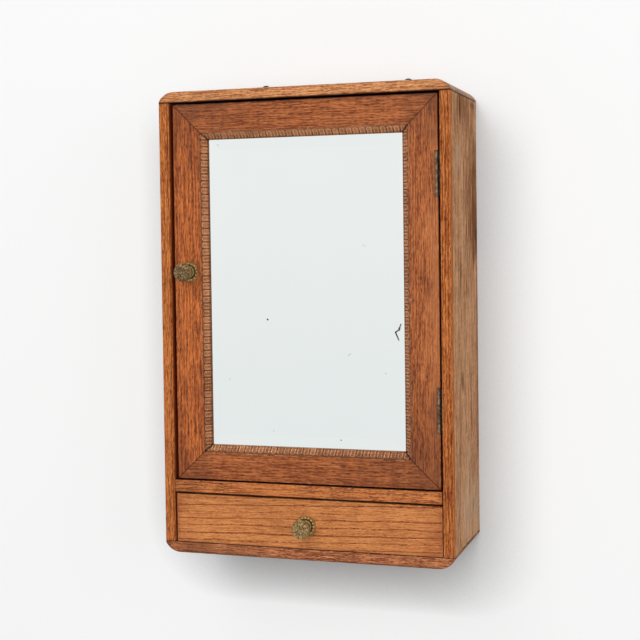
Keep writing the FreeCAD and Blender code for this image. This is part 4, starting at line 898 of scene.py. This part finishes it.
# The rosettes' brass is painted lighter than the knobs' to make up for the shade that the knobs cast on them.
rosette_brass = metal_material("rosette_brass_metal", shade(214, 184, 122), shade(170, 138, 86),
                               shade(116, 92, 58), [relief_darkened])
for name, node, body, shaper, brass in (
        ("door_rosette_pressed", "door_knob_rosette", "door", rosette, rosette_brass),
        ("door_knob_turned", "door_knob", "latch", knob, door_brass),
        ("drawer_rosette_pressed", "drawer_knob_rosette", "drawer", rosette, rosette_brass),
        ("drawer_knob_turned", "drawer_knob", "drawer", knob, drawer_brass)):
    piece = shaper(name, node)
    piece.data.materials.append(brass)
    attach(piece, body)
    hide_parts(node)
plain_brass = metal_material("plain_brass_metal", shade(176, 156, 104), shade(128, 112, 70),
                             shade(88, 80, 50))
coat(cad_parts["knob_bush"], plain_brass)
for node in ("latch_spindle", "latch_sleeve", "latch_tongue", "latch_nut"):
    coat(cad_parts[node], steel)


# Drawer: a front of golden figured oak, rebated for softwood sides that are nailed to it, with a back and a
# bottom let into grooves. A screw from inside holds its knob.
drawer_look = {"Pale": shade(228, 150, 86), "Deep": shade(156, 82, 42), "Pore": shade(86, 38, 20),
               "Ring Width": 0.0082, "Band": 0.26, "Bend": 0.014, "Ring Depth": 0.8, "Pore Depth": 0.9,
               "Streak": 0.85, "Seed": 23.0, "Dashes": (260.0, 900.0, 900.0), "Strays": 0.0, "Fleck": 1.9,
               "Pith": (0.0, -0.11, -0.66)}
drawer_low, drawer_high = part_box("drawer_front")
end_brown = shade(140, 66, 38)
drawer_ends = [spotted((end_x, drawer_low.y, drawer_low.z + 0.03), (reach, 1.0, 0.06), 0.4, end_brown)
               for end_x, reach in ((drawer_low.x, 0.018), (drawer_high.x, 0.034))]
dress_board("drawer_front", "rising X", drawer_look, shade(222, 158, 104), shade(128, 62, 36), drawer_ends,
            rim=0.25)
for node, along, seed in (("drawer_side_left", "Y", 24.1), ("drawer_side_right", "Y", 25.3),
                          ("drawer_back", "X", 26.7), ("drawer_bottom", "X", 27.1)):
    dress_softwood(node, along, seed, (0.0, 0.03, 0.2))
coat(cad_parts["drawer_nails"], dark_iron)
coat(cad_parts["drawer_knob_screw"], steel)


# Studio: a pale wall behind the cabinet, a pale floor well below it, a soft key lamp above and to the left, a
# large lamp in front and a third at the right, and even light from all round. Seen from behind, the wall and
# the floor let the view through.
wall_y, floor_z, stage_half = 0.0012, -1.3, 4.0
lit_share = 0.4
even_strength, shadow_reach, shadow_power = 1.1, 0.1, 2.2


def sorted_rays(tree):
    """The kinds of rays, and whether a ray comes by way of gloss or glass."""
    rays = put(tree, "LightPath").outputs
    return rays, calc(tree, "MAXIMUM", rays["Is Glossy Ray"], rays["Is Transmission Ray"])


def stage_sheet(name, corners):
    """A flat sheet with four corners, pale to every ray that shows it, and part of it lit so that it takes
    shadows."""
    mesh = bpy.data.meshes.new(name)
    mesh.from_pydata(corners, [], [(0, 1, 2, 3)])
    sheet = bpy.data.objects.new(name, mesh)
    bpy.context.scene.collection.objects.link(sheet)
    material, tree, place = new_material(name + "_paint")
    grain = cloudy(tree, place, (1.3, 1.3, 1.3), 1.0)
    paint = mixed(tree, grain, shade(246, 246, 246), shade(248, 248, 248))
    lit = put(tree, "BsdfDiffuse", {"Color": paint}).outputs[0]
    # Close to the cabinet the paint gets less of the light, which comes from the front, the right and above.
    light_way = put(tree, "CombineXYZ", {0: 0.3, 1: -0.4, 2: 0.86}).outputs[0]
    open_share = put(tree, "AmbientOcclusion", {"Distance": shadow_reach, "Normal": light_way},
                     samples=8).outputs["AO"]
    strength = calc(tree, "MULTIPLY", calc(tree, "POWER", open_share, shadow_power), even_strength)
    even = put(tree, "Emission", {"Color": paint, "Strength": strength}).outputs[0]
    pale = put(tree, "Emission", {"Color": paint, "Strength": 1.0}).outputs[0]
    mirrored = sorted_rays(tree)[1]
    shown = put(tree, "MixShader", {0: lit_share, 1: even, 2: lit}).outputs[0]
    shown = put(tree, "MixShader", {0: mirrored, 1: shown, 2: pale}).outputs[0]
    clear = put(tree, "BsdfTransparent").outputs[0]
    behind = put(tree, "NewGeometry").outputs["Backfacing"]
    shown = put(tree, "MixShader", {0: behind, 1: shown, 2: clear}).outputs[0]
    put(tree, "OutputMaterial", {"Surface": shown})
    mesh.materials.append(material)
    sheet.visible_shadow = False
    sheet.visible_diffuse = False


stage_sheet("wall", [(-stage_half, wall_y, floor_z), (stage_half, wall_y, floor_z),
                     (stage_half, wall_y, stage_half), (-stage_half, wall_y, stage_half)])
stage_sheet("floor", [(-stage_half, -stage_half, floor_z), (stage_half, -stage_half, floor_z),
                      (stage_half, stage_half, floor_z), (-stage_half, stage_half, floor_z)])

world = bpy.data.worlds.new("studio_light")
bpy.context.scene.world = world
world.use_nodes = True
tree = world.node_tree
tree.nodes.clear()
rays, mirrored = sorted_rays(tree)
seen = calc(tree, "MAXIMUM", rays["Is Camera Ray"], mirrored)
# The room that the mirror faces is a little darker than what lies round it, so that the bevel shows.
room_way = Vector((-0.31, -0.95, -0.06)).normalized()
room_edge, room_core = math.cos(math.radians(21)), math.cos(math.radians(7))
way = put(tree, "TexCoord").outputs["Generated"]
dimmed = step(tree, measured(tree, "DOT_PRODUCT", way, room_way), room_edge, room_core)
height = parted(tree, way)[2]
room = mixed(tree, step(tree, height, -0.2, 0.1), shade(236, 238, 237), shade(244, 244, 243))
view = mixed(tree, dimmed, shade(248, 248, 247), room)
ambient = put(tree, "Background", {"Color": (1.0, 1.0, 1.0, 1.0), "Strength": 0.40}).outputs[0]
backdrop = put(tree, "Background", {"Color": view, "Strength": 1.0}).outputs[0]
put(tree, "OutputWorld", {"Surface": put(tree, "MixShader", {0: seen, 1: ambient, 2: backdrop}).outputs[0]})


def soft_lamp(name, place, target, size, power, mirrored=True):
    """A square lamp that faces a point, and shows in gloss or not."""
    lamp = bpy.data.lights.new(name, "AREA")
    lamp.shape, lamp.size, lamp.energy = "SQUARE", size, power
    held = bpy.data.objects.new(name, lamp)
    held.location = place
    held.rotation_euler = (Vector(target) - Vector(place)).to_track_quat("-Z", "Y").to_euler()
    held.visible_camera = False
    held.visible_glossy = mirrored
    bpy.context.scene.collection.objects.link(held)


middle = (cad_box[0] + cad_box[1]) / 2
soft_lamp("key_lamp", (-0.5, -1.9, 1.3), middle, 1.1, 13.0)
soft_lamp("front_lamp", (-0.25, -3.1, 0.3), middle, 2.4, 30.0, mirrored=False)
soft_lamp("side_lamp", (2.2, -1.7, 0.3), middle, 1.4, 14.0, mirrored=False)

# The camera stands to the right of the cabinet and looks down a little, and its lens is shifted, as the framing
# needs.
camera_place = (0.48802, -1.59634, -0.1923)
yaw, pitch, roll = 0.31121, -0.03315, -0.01329
ahead = Vector((-math.sin(yaw) * math.cos(pitch), math.cos(yaw) * math.cos(pitch), math.sin(pitch)))
level = Vector((math.cos(yaw), math.sin(yaw), 0.0))
upright = level.cross(ahead)
image_right = level * math.cos(roll) + upright * math.sin(roll)
image_up = upright * math.cos(roll) - level * math.sin(roll)
lens = bpy.data.cameras.new("photo_camera")
lens.sensor_width, lens.lens, lens.shift_y = 36.0, 73.083, -0.06
camera = bpy.data.objects.new("photo_camera", lens)
turned_to_view = Matrix((image_right, image_up, -ahead)).transposed().to_4x4()
camera.matrix_world = Matrix.Translation(camera_place) @ turned_to_view
bpy.context.scene.collection.objects.link(camera)
bpy.context.scene.camera = camera
bpy.context.scene.view_settings.view_transform = "Standard"
